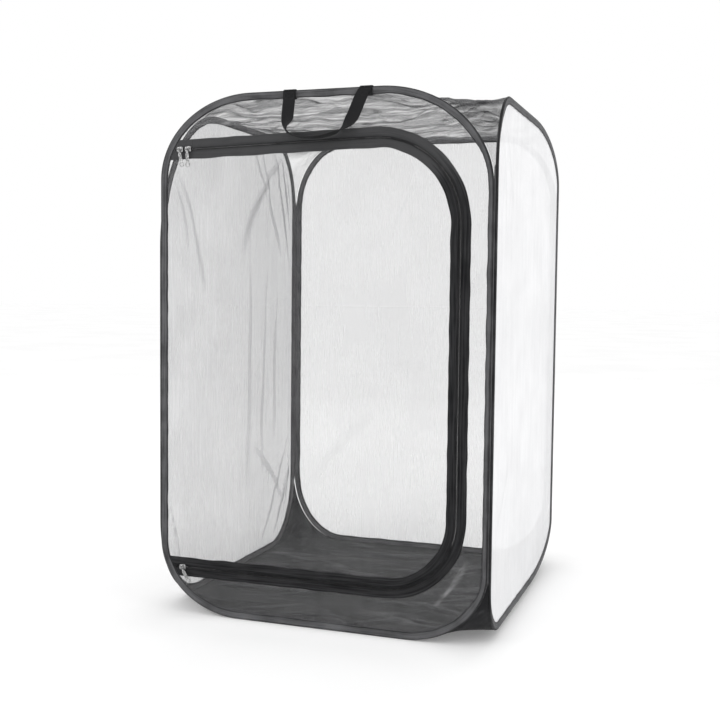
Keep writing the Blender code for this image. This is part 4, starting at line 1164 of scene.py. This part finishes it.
# %% Slider pieces
SLIDER_HALF, SLIDER_SIDE = 6.0 * MM, 5.0 * MM
SLIDER_TOP = 5.15 * MM
BAIL_TOP = 7.55 * MM
EYE = 1.75 * MM
CHANNEL = np.array([
    (5.0, 1.45), (5.0, 2.4), (5.0, 3.6), (4.9, 4.4), (4.65, 4.85), (4.2, 5.08), (3.2, 5.15), (1.6, 5.2),
    (0.0, 5.22), (-1.6, 5.2), (-3.2, 5.15), (-4.2, 5.08), (-4.65, 4.85), (-4.9, 4.4), (-5.0, 3.6),
    (-5.0, 2.4), (-5.0, 1.45),
    (-4.2, 1.45), (-4.2, 3.5), (-4.0, 4.0), (-3.6, 4.15), (3.6, 4.15), (4.0, 4.0), (4.2, 3.5), (4.2, 1.45),
]) * MM


TAB_WIDTHS = np.array([(1.9, 0.8), (2.6, 1.3), (5.0, 1.35), (7.6, 2.9), (9.0, 3.1),
                       (20.5, 3.05), (23.4, 2.3)])
RING, RING_DROP = 3.6 * MM, 26.4 * MM
TILTS = {"left": 12.0, "right": 3.0, "lower": 30.0}


def slider_plan(x):
    """How wide a slider is along its length, as a share: a shield, wider where the coils part."""
    return (0.90 + 0.10 * ease((x + 3.5 * MM) / (6 * MM))) * (1 - 0.42 * np.abs(x / SLIDER_HALF) ** 7)


def slider_shapes(run, x):
    """A slider's four shapes: the channel, the back plate, the post and the bail."""
    slope = math.atan2(ZIP_RUNS[run, 1], abs(ZIP_RUNS[run, 0])) if run == 0 else 0.0
    put = on_run(run, x, slope)
    along = SLIDER_HALF * np.sin(np.radians(np.linspace(-90, 90, 25)))
    section = np.broadcast_to(CHANNEL, (25, *CHANNEL.shape)).copy()
    section[..., 0] *= slider_plan(along)[:, None]
    crown = (0.7 * np.abs(along / SLIDER_HALF) ** 6)[:, None] * MM
    section[..., 1] -= crown * (section[..., 1] > 4.2 * MM)
    lengthwise = np.broadcast_to(along[:, None, None], (25, len(CHANNEL), 1))
    channel = np.concatenate([lengthwise, section], axis=2)
    width = slider_plan(along) * SLIDER_SIDE
    far_side, near_side = np.column_stack([along, width])[::-1], np.column_stack([along, -width])
    rim = np.concatenate([far_side, near_side[1:-1]])
    post = np.array([(5.9, 0.0), (4.6, 0.19), (3.1, 0.0), (4.6, -0.19)]) * MM
    angle = np.radians(np.linspace(0.0, 180.0, 25))
    rise = (BAIL_TOP - SLIDER_TOP + 0.5 * MM) * np.sin(angle).clip(0.0) ** 0.55
    arch = np.stack([-4.0 * MM * np.cos(angle), 0 * angle, SLIDER_TOP - 0.5 * MM + rise], axis=1)
    return [
        surface(put(channel), close_columns=True, caps=True, flip=True),
        plate(rim, -0.75 * MM, 0.25 * MM, 0.3 * MM, put),
        plate(post, 0.1 * MM, 4.2 * MM, 0.02 * MM, put),
        bar(arch, (0.0, 1.0, 0.0), 0.85 * MM, 0.6 * MM, 12, put=put),
    ]


def pull_shapes(run, x, tilt):
    """A pull's three shapes: a rimmed tab, a flat ring at its foot and the eye at its top."""
    put = on_run(run, x, tilt, BAIL_TOP)
    down = np.array([1.9, 2.4, 3.2, 4.2, 5.2, 6.1, 7.0, 8.0, 9.5, 12.0, 15.0, 18.0, 20.0, 21.5, 22.6, 23.4])
    half = MM * np.interp(down, *TAB_WIDTHS.T)
    down = down * MM
    turn = np.linspace(0.0, 2 * math.pi, 28, endpoint=False)
    across = np.sign(np.cos(turn)) * np.abs(np.cos(turn)) ** 0.5
    through = np.sign(np.sin(turn)) * np.abs(np.sin(turn)) ** 0.55
    rimmed = ease((down - 6.5 * MM) / (2.5 * MM)) * ease((22.5 * MM - down) / (2.5 * MM))
    hollow = 1 - 0.36 * rimmed[:, None] * ease((0.85 - np.abs(across)) / 0.3)[None]
    tab = np.stack([
        half[:, None] * across[None],
        np.broadcast_to(-down[:, None], (len(down), len(turn))),
        0.5 * MM * through[None] * hollow,
    ], axis=-1)
    turn = np.linspace(0.0, 2 * math.pi, 40, endpoint=False)
    ring = np.column_stack([RING * np.cos(turn), RING * np.sin(turn) - RING_DROP, 0 * turn])
    turn = np.linspace(0.0, 2 * math.pi, 24, endpoint=False)
    eye = np.column_stack([0 * turn, EYE * np.cos(turn), EYE * np.sin(turn)])
    return [
        surface(put(tab), close_columns=True, caps=True),
        bar(ring, (0.0, 0.0, 1.0), 0.5 * MM, 1.0 * MM, 12, closed=True, put=put),
        bar(eye, (1.0, 0.0, 0.0), 0.45 * MM, sides=10, closed=True, put=put),
    ]


for name, run, x in (("left", 0, LEFT_SLIDER_X), ("right", 0, RIGHT_SLIDER_X), ("lower", 2, LOWER_SLIDER_X)):
    hanging = pull_shapes(run, x, math.radians(TILTS[name]))
    slider = new_piece(name + "_slider_cast", slider_shapes(run, x), NICKEL, smooth_angle=35)
    pull = new_piece(name + "_pull_tab", hanging, NICKEL, smooth_angle=35)
    for piece, node in ((slider, name + "_slider"), (pull, name + "_pull")):
        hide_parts(node)
        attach(piece, node)

# %% [markdown]
# ## Wires and ferrules
# The spring wires and their crimped ferrules are hidden in the binding, and their imported
# shapes stay as they are, so only their finish changes: blued spring steel and plated crimps.

# %% Refinish the wires and ferrules
for node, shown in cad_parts.items():
    if node.endswith("_hoop_wire"):
        shown.material_slots[0].material = SPRING
    elif node.endswith("_wire_ferrule"):
        shown.material_slots[0].material = CRIMP

# %% [markdown]
# ## Carry strap and its wraps
# The strap is woven webbing, its two ends folded over the top of the front hoop and sewn. It
# hangs by its own weight, and because its ends face the same way while its belly is free, it
# turns edge on in the middle. Its middle line passes smoothly through five places, and a
# twist of a quarter turn goes in and out again. One function makes both the strap and the
# wraps: a flat rounded section, a little thicker at its woven edges, carried along a line.

# %% Webbing finish
def webbing_finish():
    """Black webbing: thick ribs along it, bound by rows of weft, with a slight nylon shine."""
    finish = Finish("strap_webbing", Specular_IOR_Level=0.12, Sheen_Weight=0.03)
    along, across, _ = finish.split(finish.cloth())
    row = (along * (math.pi / (1.3 * MM))).sine()
    rib = (across * (math.pi / (0.9 * MM))).sine()
    basket = (row * rib).step(-0.45, 0.45)
    edge = row.size() * 0.5 + rib.size() * 0.5
    cloud = finish.noise(finish.place(), 60.0, 4.0)
    tone = (basket * 0.35 + edge * 0.25 + cloud * 0.5).step(0.3, 0.95)
    finish.feed("Base Color", finish.blend(tone, (0.007, 0.007, 0.008), (0.022, 0.022, 0.023)))
    finish.feed("Roughness", 0.60 + cloud * 0.3)
    finish.bump(edge * 0.8 + basket * 0.4, 0.35 * MM, 0.9)
    return finish.material


WEBBING = webbing_finish()
STRAP_THREAD = thread_finish("strap_thread", (0.035, 0.035, 0.037))


# %% Strap and wrap pieces
STRAP_WIDTH, STRAP_HALF = 22.0 * MM, 0.7 * MM
WRAP_HALF = 0.6 * MM
WRAP_X = (-0.0520, 0.0820)
STRAP_DROP, STRAP_LOW_X = 80.0 * MM, 6.0 * MM


def ribbon(middle, side, half_width, half_thickness, columns=15):
    """A flat section carried along a line: round at its edges and thicker just inside them."""
    face = unit(np.cross(unit(np.gradient(middle, axis=0)), side))
    share = np.sin(np.radians(np.linspace(90.0, -90.0, columns)))
    thick = (1 - np.abs(share) ** 14) ** 0.5 * (0.90 + 0.10 * ease((np.abs(share) - 0.7) / 0.15))
    wide = np.concatenate([share, share[-2:0:-1]])
    deep = np.concatenate([thick, -thick[-2:0:-1]])
    across = half_width * wide[None, :, None] * side[:, None]
    through = half_thickness * deep[None, :, None] * face[:, None]
    cloth = lattice(walked(middle), half_width * np.append(wide, wide[0]))
    return surface(middle[:, None] + (across + through), cloth, close_columns=True, caps=True)


def smooth_through(knots, values, share):
    """A smooth line through a few values: cubic pieces whose slopes follow their neighbours."""
    slopes = np.gradient(values, knots)
    spot = np.clip(np.searchsorted(knots, share, side="right") - 1, 0, len(knots) - 2)
    width = knots[spot + 1] - knots[spot]
    local = (share - knots[spot]) / width
    start = (1 + 2 * local) * (1 - local) ** 2 * values[spot]
    start_slope = local * (1 - local) ** 2 * width * slopes[spot]
    end = local**2 * (3 - 2 * local) * values[spot + 1]
    end_slope = local**2 * (local - 1) * width * slopes[spot + 1]
    return start + start_slope + end + end_slope


def strap_rows(rows=180):
    """The strap's middle line and its side direction: it twists a quarter turn and back."""
    share = np.linspace(0.0, 1.0, rows)
    rise, fall = 0.30, 0.42
    knots = np.array([0.0, rise, 0.5, 1.0 - fall, 1.0])
    left, right = WRAP_X
    top, low = HEIGHT - 2.5 * MM, HEIGHT - STRAP_DROP
    across = np.array([left, left + STRAP_WIDTH / 4, STRAP_LOW_X, STRAP_LOW_X + STRAP_WIDTH, right])
    height = np.array([top, low + STRAP_WIDTH / 3, low, low + STRAP_WIDTH / 5, top])
    x, z = smooth_through(knots, across, share), smooth_through(knots, height, share)
    turn = np.minimum(ease(share / rise * 2 - 1), ease((1 - share) / fall * 2 - 1)) * math.pi / 2
    lean = (STRAP_WIDTH / 2 - STRAP_HALF) * np.sin(turn)
    y = np.full(rows, -PLANE - 4.3 * MM - STRAP_HALF) - lean
    middle = np.stack([x, y, z], axis=1)
    out, level = np.array([0.0, -1.0, 0.0]), np.array([1.0, 0.0, 0.0])
    flat = unit(np.cross(unit(np.gradient(middle, axis=0)), out))
    flat = flat * np.sign(flat @ level)[:, None]
    ends = (np.abs(np.linspace(-1.0, 1.0, rows)) * 4 - 3).clip(0.0, 1.0)[:, None]
    flat = unit((1 - ends) * flat + ends * level)
    side = np.cos(turn)[:, None] * flat + np.sin(turn)[:, None] * out
    return middle, side


def wrap_rows(x):
    """A strap end over the hoop: up its back, round over the top and down its front."""
    bend = np.radians(np.linspace(0.0, 90.0, 9))
    radius = 2.0 * MM
    reach, top = 3.4 * MM, HEIGHT + 0.9 * MM
    right = np.stack([reach - radius + radius * np.sin(bend), top - radius + radius * np.cos(bend)], axis=1)
    start = top - radius - 0.2 * MM
    back = np.column_stack([np.full(10, reach), np.linspace(start, HEIGHT - 14.5 * MM, 10)])
    front = np.column_stack([np.full(10, -reach), np.linspace(start, HEIGHT - 16.0 * MM, 10)])
    path = np.concatenate([back[::-1], right[::-1], right * [-1.0, 1.0], front])
    middle = np.column_stack([np.full(len(path), x), path[:, 0] - PLANE, path[:, 1]])
    return middle, np.tile([-1.0, 0.0, 0.0], (len(path), 1))


def sewn_box(x, low, high, half, level):
    """A box of stitches with a cross in it, on the face of the strap's end."""
    left, right = x - half, x + half
    corner = np.array([(left, low), (right, low), (right, high), (left, high), (left, low)])
    shapes = []
    for line in (corner, corner[[0, 2]], corner[[1, 3]]):
        place = stand("front", lifted(even_steps(line, 80, closed=False)[0], level))
        shapes.append(stitches(place, outwards("front"), 2.6 * MM, 2.0 * MM, 0.2 * MM))
    return shapes


sewn = [shape for x in WRAP_X for shape in sewn_box(x, 0.8850, 0.8955, 8 * MM, 5.72 * MM)]
strap = new_piece("carry_strap_webbing", [ribbon(*strap_rows(), STRAP_WIDTH / 2, STRAP_HALF)], WEBBING)
strap_seam = new_piece("carry_strap_seam", sewn, STRAP_THREAD)
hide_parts("carry_strap")
for piece in (strap, strap_seam):
    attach(piece, "carry_strap")
for side, x in zip(("left", "right"), WRAP_X):
    wrap = new_piece(side + "_wrap_webbing", [ribbon(*wrap_rows(x), STRAP_WIDTH / 2, WRAP_HALF)], WEBBING)
    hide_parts(side + "_strap_wrap")
    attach(wrap, "front")

# %% [markdown]
# ## Top net and floor cloth
# The top and the floor are square cloths sewn to all four hoops. Where the hoops curve away at
# the corners, the cloth runs up or down between them like a tongue. When the cage is folded
# flat, the square becomes a thin diamond and its cloth gathers between two walls at a time. So
# each cloth is made as two plies. One is a quarter disc about the corner between the front and
# the left wall, the other about the opposite corner. Together they cover the square. The height
# of a ply comes from the hoops' corners, a shallow bowl, a dip between the hoops and many small
# folds.

# %% Heights and fans
CLOTH_HALF = 0.2962
CORNERS = [(-1, -1), (-1, 1), (1, -1), (1, 1)]


def hoop_radii(depth, side, level):
    """Corner radii, across and up, of the two hoops that meet at one corner of a cloth."""
    tall = "top" if level > 0 else "bottom"
    end = "_right" if depth * side < 0 else "_left"
    beside = "_left" if depth * side < 0 else "_right"
    end_hoop, side_hoop = "front" if depth < 0 else "rear", "right" if side > 0 else "left"
    return HOOPS[end_hoop][tall + end], HOOPS[side_hoop][tall + beside]


def corner_shape(x, y, level):
    """How far a cloth has left its flat middle, how loose it hangs there and how steep it is."""
    rise, loose, steep = np.zeros_like(x), np.zeros_like(x), np.zeros_like(x)
    right_share = (0.5 + 0.5 * x / CLOTH_HALF).clip(0.0) ** 8
    for depth, side in CORNERS:
        end, beside = hoop_radii(depth, side, level)
        from_side = (CLOTH_HALF - side * x).clip(0.0) / end[0]
        from_end = (CLOTH_HALF - depth * y).clip(0.0) / beside[0]
        reach = (from_side + from_end).clip(1e-9)
        share = from_side / reach
        bend = (1 - reach).clip(0.0, 1.0)
        rise += (share * end[1] + (1 - share) * beside[1]) * (1 - np.sqrt(1 - bend**2))
        loose += 4 * share * (1 - share) * ease(reach / 0.9) * (1 - ease((reach - 0.9) / 1.3))
        steep += ease((bend - 0.25) / 0.45)
        if side > 0:
            right_share = right_share * (1 - share)
    rise += right_share * (HEIGHT - CROWNS["right"] if level > 0 else FEET["right"])
    return rise, loose, steep


def fan(turn, rows=200, columns=230):
    """A quarter disc about a corner of the square: x, y, the share of its turn, and doubling."""
    radius = 1 * MM + packed_shares(rows, 0.7) * (2 * CLOTH_HALF - 1 * MM)
    sweep = packed_shares(columns, 0.6)
    angle = sweep * math.pi / 2
    x = turn * (radius[:, None] * np.cos(angle) - CLOTH_HALF)
    y = turn * (radius[:, None] * np.sin(angle) - CLOTH_HALF)
    other = np.hypot(x - turn * CLOTH_HALF, y - turn * CLOTH_HALF) < 2 * CLOTH_HALF
    return x, y, np.broadcast_to(sweep, x.shape), other.astype(float)


def strewn_folds(count, seed, heading, spread, reach, width, height):
    """Folds strewn over the square by a seed, most of them near one heading."""
    chance = np.random.default_rng(seed)
    folds = []
    for _ in range(count):
        middle = chance.uniform(-0.27, 0.27, 2)
        angle = heading + chance.normal(0.0, spread)
        half = reach * chance.uniform(0.4, 1.3) / 2 * np.array([math.cos(angle), math.sin(angle)])
        size = height * chance.uniform(0.35, 1.2) * chance.choice([-1.0, 1.0])
        bow = chance.normal(0.0, 0.08) * reach
        broad = width * chance.uniform(0.5, 1.5)
        folds.append((middle - half, middle + half, bow, broad, size))
    return folds


def fan_cloth(x, y, z, turn):
    """Cloth coordinates of a fan: real lengths along each spoke, laid out by its angle."""
    points = np.stack([x, y, z], axis=-1)
    steps = np.linalg.norm(np.diff(points, axis=0), axis=2)
    reach = np.concatenate([np.zeros((1, x.shape[1])), np.cumsum(steps, axis=0)])
    angle = np.arctan2(turn * y + CLOTH_HALF, turn * x + CLOTH_HALF)
    return turn * (reach[..., None] * np.stack([np.cos(angle), np.sin(angle)], axis=-1) - CLOTH_HALF)


def ply(name, turn, height, finish, slot, bodies, held):
    """One fan of a cloth, with its height worked out."""
    x, y, sweep, doubled = fan(turn)
    z, marks, shift = height(x, y)
    shape = surface(np.stack([x, y + shift, z], axis=-1), fan_cloth(x, y, z, turn), flip=True)
    values = {key: value.ravel() for key, value in (*marks.items(), ("doubled", doubled))}
    sheet = new_piece(name, [shape], finish, values, 80)
    rests_on = [body + "_binding" for body in bodies]
    corner = -turn * CLOTH_HALF
    on_end, on_side = (corner + turn * 0.3, corner, 0.45), (corner, corner + turn * 0.3, 0.45)
    start, end = (on_end, on_side) if turn > 0 else (on_side, on_end)
    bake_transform(sheet)
    shares = sweep if turn > 0 else 1 - sweep
    return sheet


# %% [markdown]
# ## The slack net on top
# The top is a dark net, slacker than the walls, so it hangs in a shallow bowl full of small
# folds. It is seen from below through the front net, at a flat angle, and every fold reads as a
# dark line: there the net lies on itself and is denser, and its finish also darkens the colour
# there as painted crease shade. Where both plies cover the same spot each of them is made
# clearer, so that two together hide as much as one does elsewhere.

# %% Top net
def top_finish():
    """Dark net: threads with clear gaps, denser in its folds and darker there as painted crease shade,
    clearer where it hangs steeply.
    """
    finish = Finish("top_mesh", Roughness=0.8, Specular_IOR_Level=0.2)
    thread = netting(finish, 1.3 * MM, 0.12, 0.45)
    fold, steep = finish.mark("fold"), finish.mark("steep")
    cloud = finish.noise(finish.place(), 14.0, 4.0).step(0.25, 0.75)
    streak = finish.noise(finish.stretched(finish.cloth(), (9.0, 46.0, 1.0)), 1.0, 4.0)
    streak = streak.step(0.3, 0.7)
    # fold darkens the colour as painted crease shade; below it also makes the net denser
    tone = (cloud * 0.4 + streak * 0.6 - fold * 0.9).step(-0.2, 1.0)
    finish.feed("Base Color", finish.blend(tone, (0.010, 0.010, 0.012), (0.150, 0.150, 0.155)))
    cover = (thread * 0.34 + 0.54 + (streak - 0.5) * 0.60) * (1 - steep * 0.62)
    cover = (cover + fold * 0.45 * (1 - steep * 0.5)).least(0.97).most(0.03)
    finish.feed("Alpha", 1 - finish.maths("POWER", 1 - cover, 1 - finish.mark("doubled") * 0.5))
    finish.bump(thread * 0.5 + streak, 0.3 * MM, 0.6)
    return finish.material


TOP_SAG, TOP_DIP = 30 * MM, 17 * MM
TOP_FOLDS = [
    ((0.285, -0.200), (0.120, -0.120), 0.010, 0.010, 4.0 * MM),
    ((0.288, -0.170), (0.150, -0.040), -0.012, 0.009, 4.0 * MM),
    ((0.288, -0.215), (0.190, -0.200), 0.006, 0.007, 4.0 * MM),
    ((0.270, -0.240), (0.160, -0.250), 0.006, 0.008, 5.0 * MM),
    ((0.288, -0.120), (0.200, 0.050), 0.010, 0.012, 4.0 * MM),
    ((-0.285, -0.100), (-0.130, -0.180), 0.014, 0.010, 5.0 * MM),
    ((-0.250, -0.270), (-0.100, -0.150), -0.010, 0.012, 4.0 * MM),
    ((-0.150, -0.285), (0.020, -0.200), 0.015, 0.010, 4.0 * MM),
    ((0.020, -0.285), (0.150, -0.160), 0.012, 0.010, 4.0 * MM),
]
TOP_FOLDS += strewn_folds(46, 5, 0.1, 0.7, 0.20, 0.008, 3.6 * MM)
TOP_FOLDS += strewn_folds(60, 6, 0.0, 1.2, 0.09, 0.005, 2.2 * MM)


def top_height(x, y, drop):
    """The top's height: hoop corners, bowl, dip and folds, all dying out at the hoops."""
    rise, loose, steep = corner_shape(x, y, 1)
    bowl = (1 - (x / CLOTH_HALF) ** 2) * (1 - (y / CLOTH_HALF) ** 2)
    edge = CLOTH_HALF - np.maximum(np.abs(x), np.abs(y))
    free = ease(edge / (28 * MM)) * (1 - 0.75 * steep)
    folds, fold = creases(x, y, TOP_FOLDS)
    soft = cloudy(x, y, 0.10, 3) * 2.2 * MM + cloudy(x, y, 0.035, 4) * 0.9 * MM
    z = HEIGHT - 0.8 * MM - drop - rise - TOP_SAG * bowl - TOP_DIP * loose + free * (folds + soft)
    wrap = sum(1 - ease((np.abs(x - at) - 12 * MM) / (8 * MM)) for at in WRAP_X)
    shift = 3.7 * MM * wrap * (1 - ease((y + CLOTH_HALF) / (20 * MM)))
    # line adds thin lines of painted crease shade, also denser, where no fold is shaped
    line = (cloudy(x, y, 0.05, 8) - 0.9).clip(0.0, 1.0) * 0.5
    fold = (fold + line).clip(0.0, 1.0) * ease(edge / (10 * MM))
    return z, {"fold": fold, "steep": steep.clip(0.0, 1.0)}, shift


TOP_NET = top_finish()
for name, turn, drop, bodies in (
    ("front", 1, 0.0, ("front", "left")), ("rear", -1, 0.35 * MM, ("right", "rear")),
):
    sheet = ply(f"top_net_{name}_ply", turn, lambda x, y: top_height(x, y, drop), TOP_NET,
                "top_net", bodies, "hung")
    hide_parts("top_net")

# %% [markdown]
# ## The cloth floor
# The floor is a close dark cloth that lies on the ground. The wires hold its edges a little
# off it at the corners, so it is never flat: low folds run mostly from side to side, and
# their crests catch the light. Its finish adds painted highlights on the crests and in long
# pale streaks, and painted shade in the troughs.

# %% Floor cloth
def floor_finish():
    """Charcoal woven cloth: fine weave, long pale streaks as painted highlight, crests painted lighter and
    troughs darker as painted light and shade.
    """
    finish = Finish("floor_fabric", Specular_IOR_Level=0.14, Sheen_Weight=0.04, Sheen_Roughness=0.45)
    cloth = finish.cloth()
    threads = weave(finish, cloth, 0.5 * MM)
    painted_crest_light = finish.mark("painted_crest_light")
    cloud = finish.noise(finish.place(), 9.0, 4.0)
    streak = finish.noise(finish.stretched(finish.place(), (8.0, 95.0, 30.0)), 1.0, 4.0, 0.6)
    # painted highlight: long pale streaks that run with the folds
    painted_streak_highlight = finish.noise(finish.stretched(finish.place(), (22.0, 240.0, 60.0)), 1.0, 3.0, 0.6)
    painted_streak_highlight = painted_streak_highlight.step(0.5, 0.8)
    tone = cloud * 0.25 + streak * 0.55 + threads * 0.06 + painted_crest_light * 0.75 + painted_streak_highlight * 0.35 - 0.45
    tone = tone.step(0.0, 1.1)
    finish.feed("Base Color", finish.blend(tone, (0.005, 0.005, 0.006), (0.058, 0.058, 0.061)))
    finish.feed("Roughness", 0.50 + cloud * 0.3)
    finish.bump(threads * 0.3 + streak * 2.0 + painted_streak_highlight, 0.4 * MM, 0.8)
    return finish.material


FLOOR_DIP = 10 * MM
FLOOR_FOLDS = strewn_folds(80, 15, 0.05, 0.30, 0.24, 0.008, 3.8 * MM)
FLOOR_FOLDS += strewn_folds(110, 16, 0.0, 0.5, 0.10, 0.0045, 2.2 * MM)
FLOOR_FOLDS += [
    ((-0.280, -0.150), (-0.120, -0.050), 0.010, 0.012, 4.0 * MM),
    ((0.285, -0.210), (0.120, -0.100), 0.010, 0.012, 5.0 * MM),
    ((0.250, -0.270), (0.080, -0.190), -0.010, 0.012, 4.0 * MM),
    ((-0.180, -0.280), (-0.060, -0.170), 0.010, 0.010, 4.0 * MM),
]


def floor_height(x, y, lift):
    """The floor's height: it lies on the ground and climbs between the hoops at its corners."""
    rise, loose, steep = corner_shape(x, y, -1)
    edge = CLOTH_HALF - np.maximum(np.abs(x), np.abs(y))
    free = ease(edge / (25 * MM)) * (1 - 0.75 * steep)
    folds, _ = creases(x, y, FLOOR_FOLDS)
    soft = cloudy(x, y * 2.5, 0.12, 23) * 0.9 * MM
    bump = free * (folds + soft)
    lying = np.sqrt(bump**2 + (0.6 * MM) ** 2) / 2 + bump / 2
    z = 0.6 * MM + lift + rise + FLOOR_DIP * loose + lying
    # painted light and shade: crests lighter, troughs darker
    painted_crest_light = (bump / (4 * MM)).clip(-0.5, 1.0) + 0.35
    return z, {"painted_crest_light": painted_crest_light, "steep": steep.clip(0.0, 1.0)}, np.zeros_like(x)


FLOOR_CLOTH = floor_finish()
for name, turn, lift, bodies in (
    ("front", 1, 0.3 * MM, ("front", "left")), ("rear", -1, 0.0, ("right", "rear")),
):
    sheet = ply(f"floor_cloth_{name}_ply", turn, lambda x, y: floor_height(x, y, lift), FLOOR_CLOTH,
                "floor_fabric", bodies, "laid")
    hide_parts("floor_cloth")

# %% [markdown]
# ## Corner seams
# Neighbouring hoops are sewn to each other only along their straight uprights. A narrow cord
# of turned-in tape fills the valley between the two bindings, right on the line about which
# the walls fold, so it can ride on either of them.

# %% Corner seam pieces
FOLD_LINE = 0.29485


def corner_cord(side, depth, low, high, radius=1.35 * MM):
    """A cord on a fold line: a round section that swells and drifts a little along its length."""
    height = np.linspace(low, high, 260)
    swell = 1 + 0.10 * np.sin(height * 2 * math.pi / 0.0062)
    ends = np.sqrt((1 - (np.abs(height - (low + high) / 2) / ((high - low) / 2)) ** 60).clip(0.02))
    ring = np.linspace(0.0, 2 * math.pi, 8, endpoint=False)
    wide = (radius * swell * ends)[:, None]
    x = side * FOLD_LINE + wide * np.cos(ring)
    y = depth * FOLD_LINE + wide * np.sin(ring)
    points = np.stack([x, y, np.broadcast_to(height[:, None], x.shape)], axis=-1)
    cloth = lattice(height, np.linspace(0.0, 8.5 * MM, 9))
    return surface(points, cloth, close_columns=True, caps=True)


for name, side, depth, low, high, body in (
    ("front_left", -1, -1, 0.130, 0.700, "front"), ("front_right", 1, -1, 0.100, 0.770, "front"),
    ("rear_right", 1, 1, 0.100, 0.780, "right"), ("rear_left", -1, 1, 0.130, 0.770, "left"),
):
    cord = new_piece(name + "_corner_seam", [corner_cord(side, depth, low, high)], BINDING)
    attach(cord, body)


# %% [markdown]
# ## The lap of the right binding
# Each binding is one strip whose ends are lapped and sewn down. On the right wall the lap lies
# near the foot and stands a little proud of the rest.

# %% Lapped end of the tape
LAP_MIDDLE = 6.0 * MM


def lap(wall, u, half=8 * MM):
    """A short sleeve round the binding: its own section, grown by half a millimetre."""
    line = even_steps(outline(wall), 3600)[0]
    along, inward = loop_directions(line)
    near = int(np.argmin(np.abs(line[:, 0] - u) + 10 * (line[:, 1] > 0.3)))
    reach = int(half / (0.8 * MM))
    spots = near + np.arange(-reach, reach + 1)
    section = binding_section()[:35]
    grown = section + 0.55 * MM * unit(section - [LAP_MIDDLE, 0.0])
    slant = (grown[:, 0] - LAP_MIDDLE) * 0.35
    rows = []
    for number, spot in enumerate(spots):
        off = abs(2 * number / len(spots) - 1)
        round_end = 1 - 0.2 * max(0.0, off - 0.75)
        depth = LAP_MIDDLE + (grown[:, 0] - LAP_MIDDLE) * round_end
        flat = line[spot] + depth[:, None] * inward[spot] + slant[:, None] * along[spot]
        rows.append(np.column_stack([flat, grown[:, 1] * round_end]))
    return surface(stand(wall, np.stack(rows)), close_columns=True, caps=True)


tab = new_piece("right_binding_lap", [lap("right", -0.061)], BINDING)
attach(tab, "right")
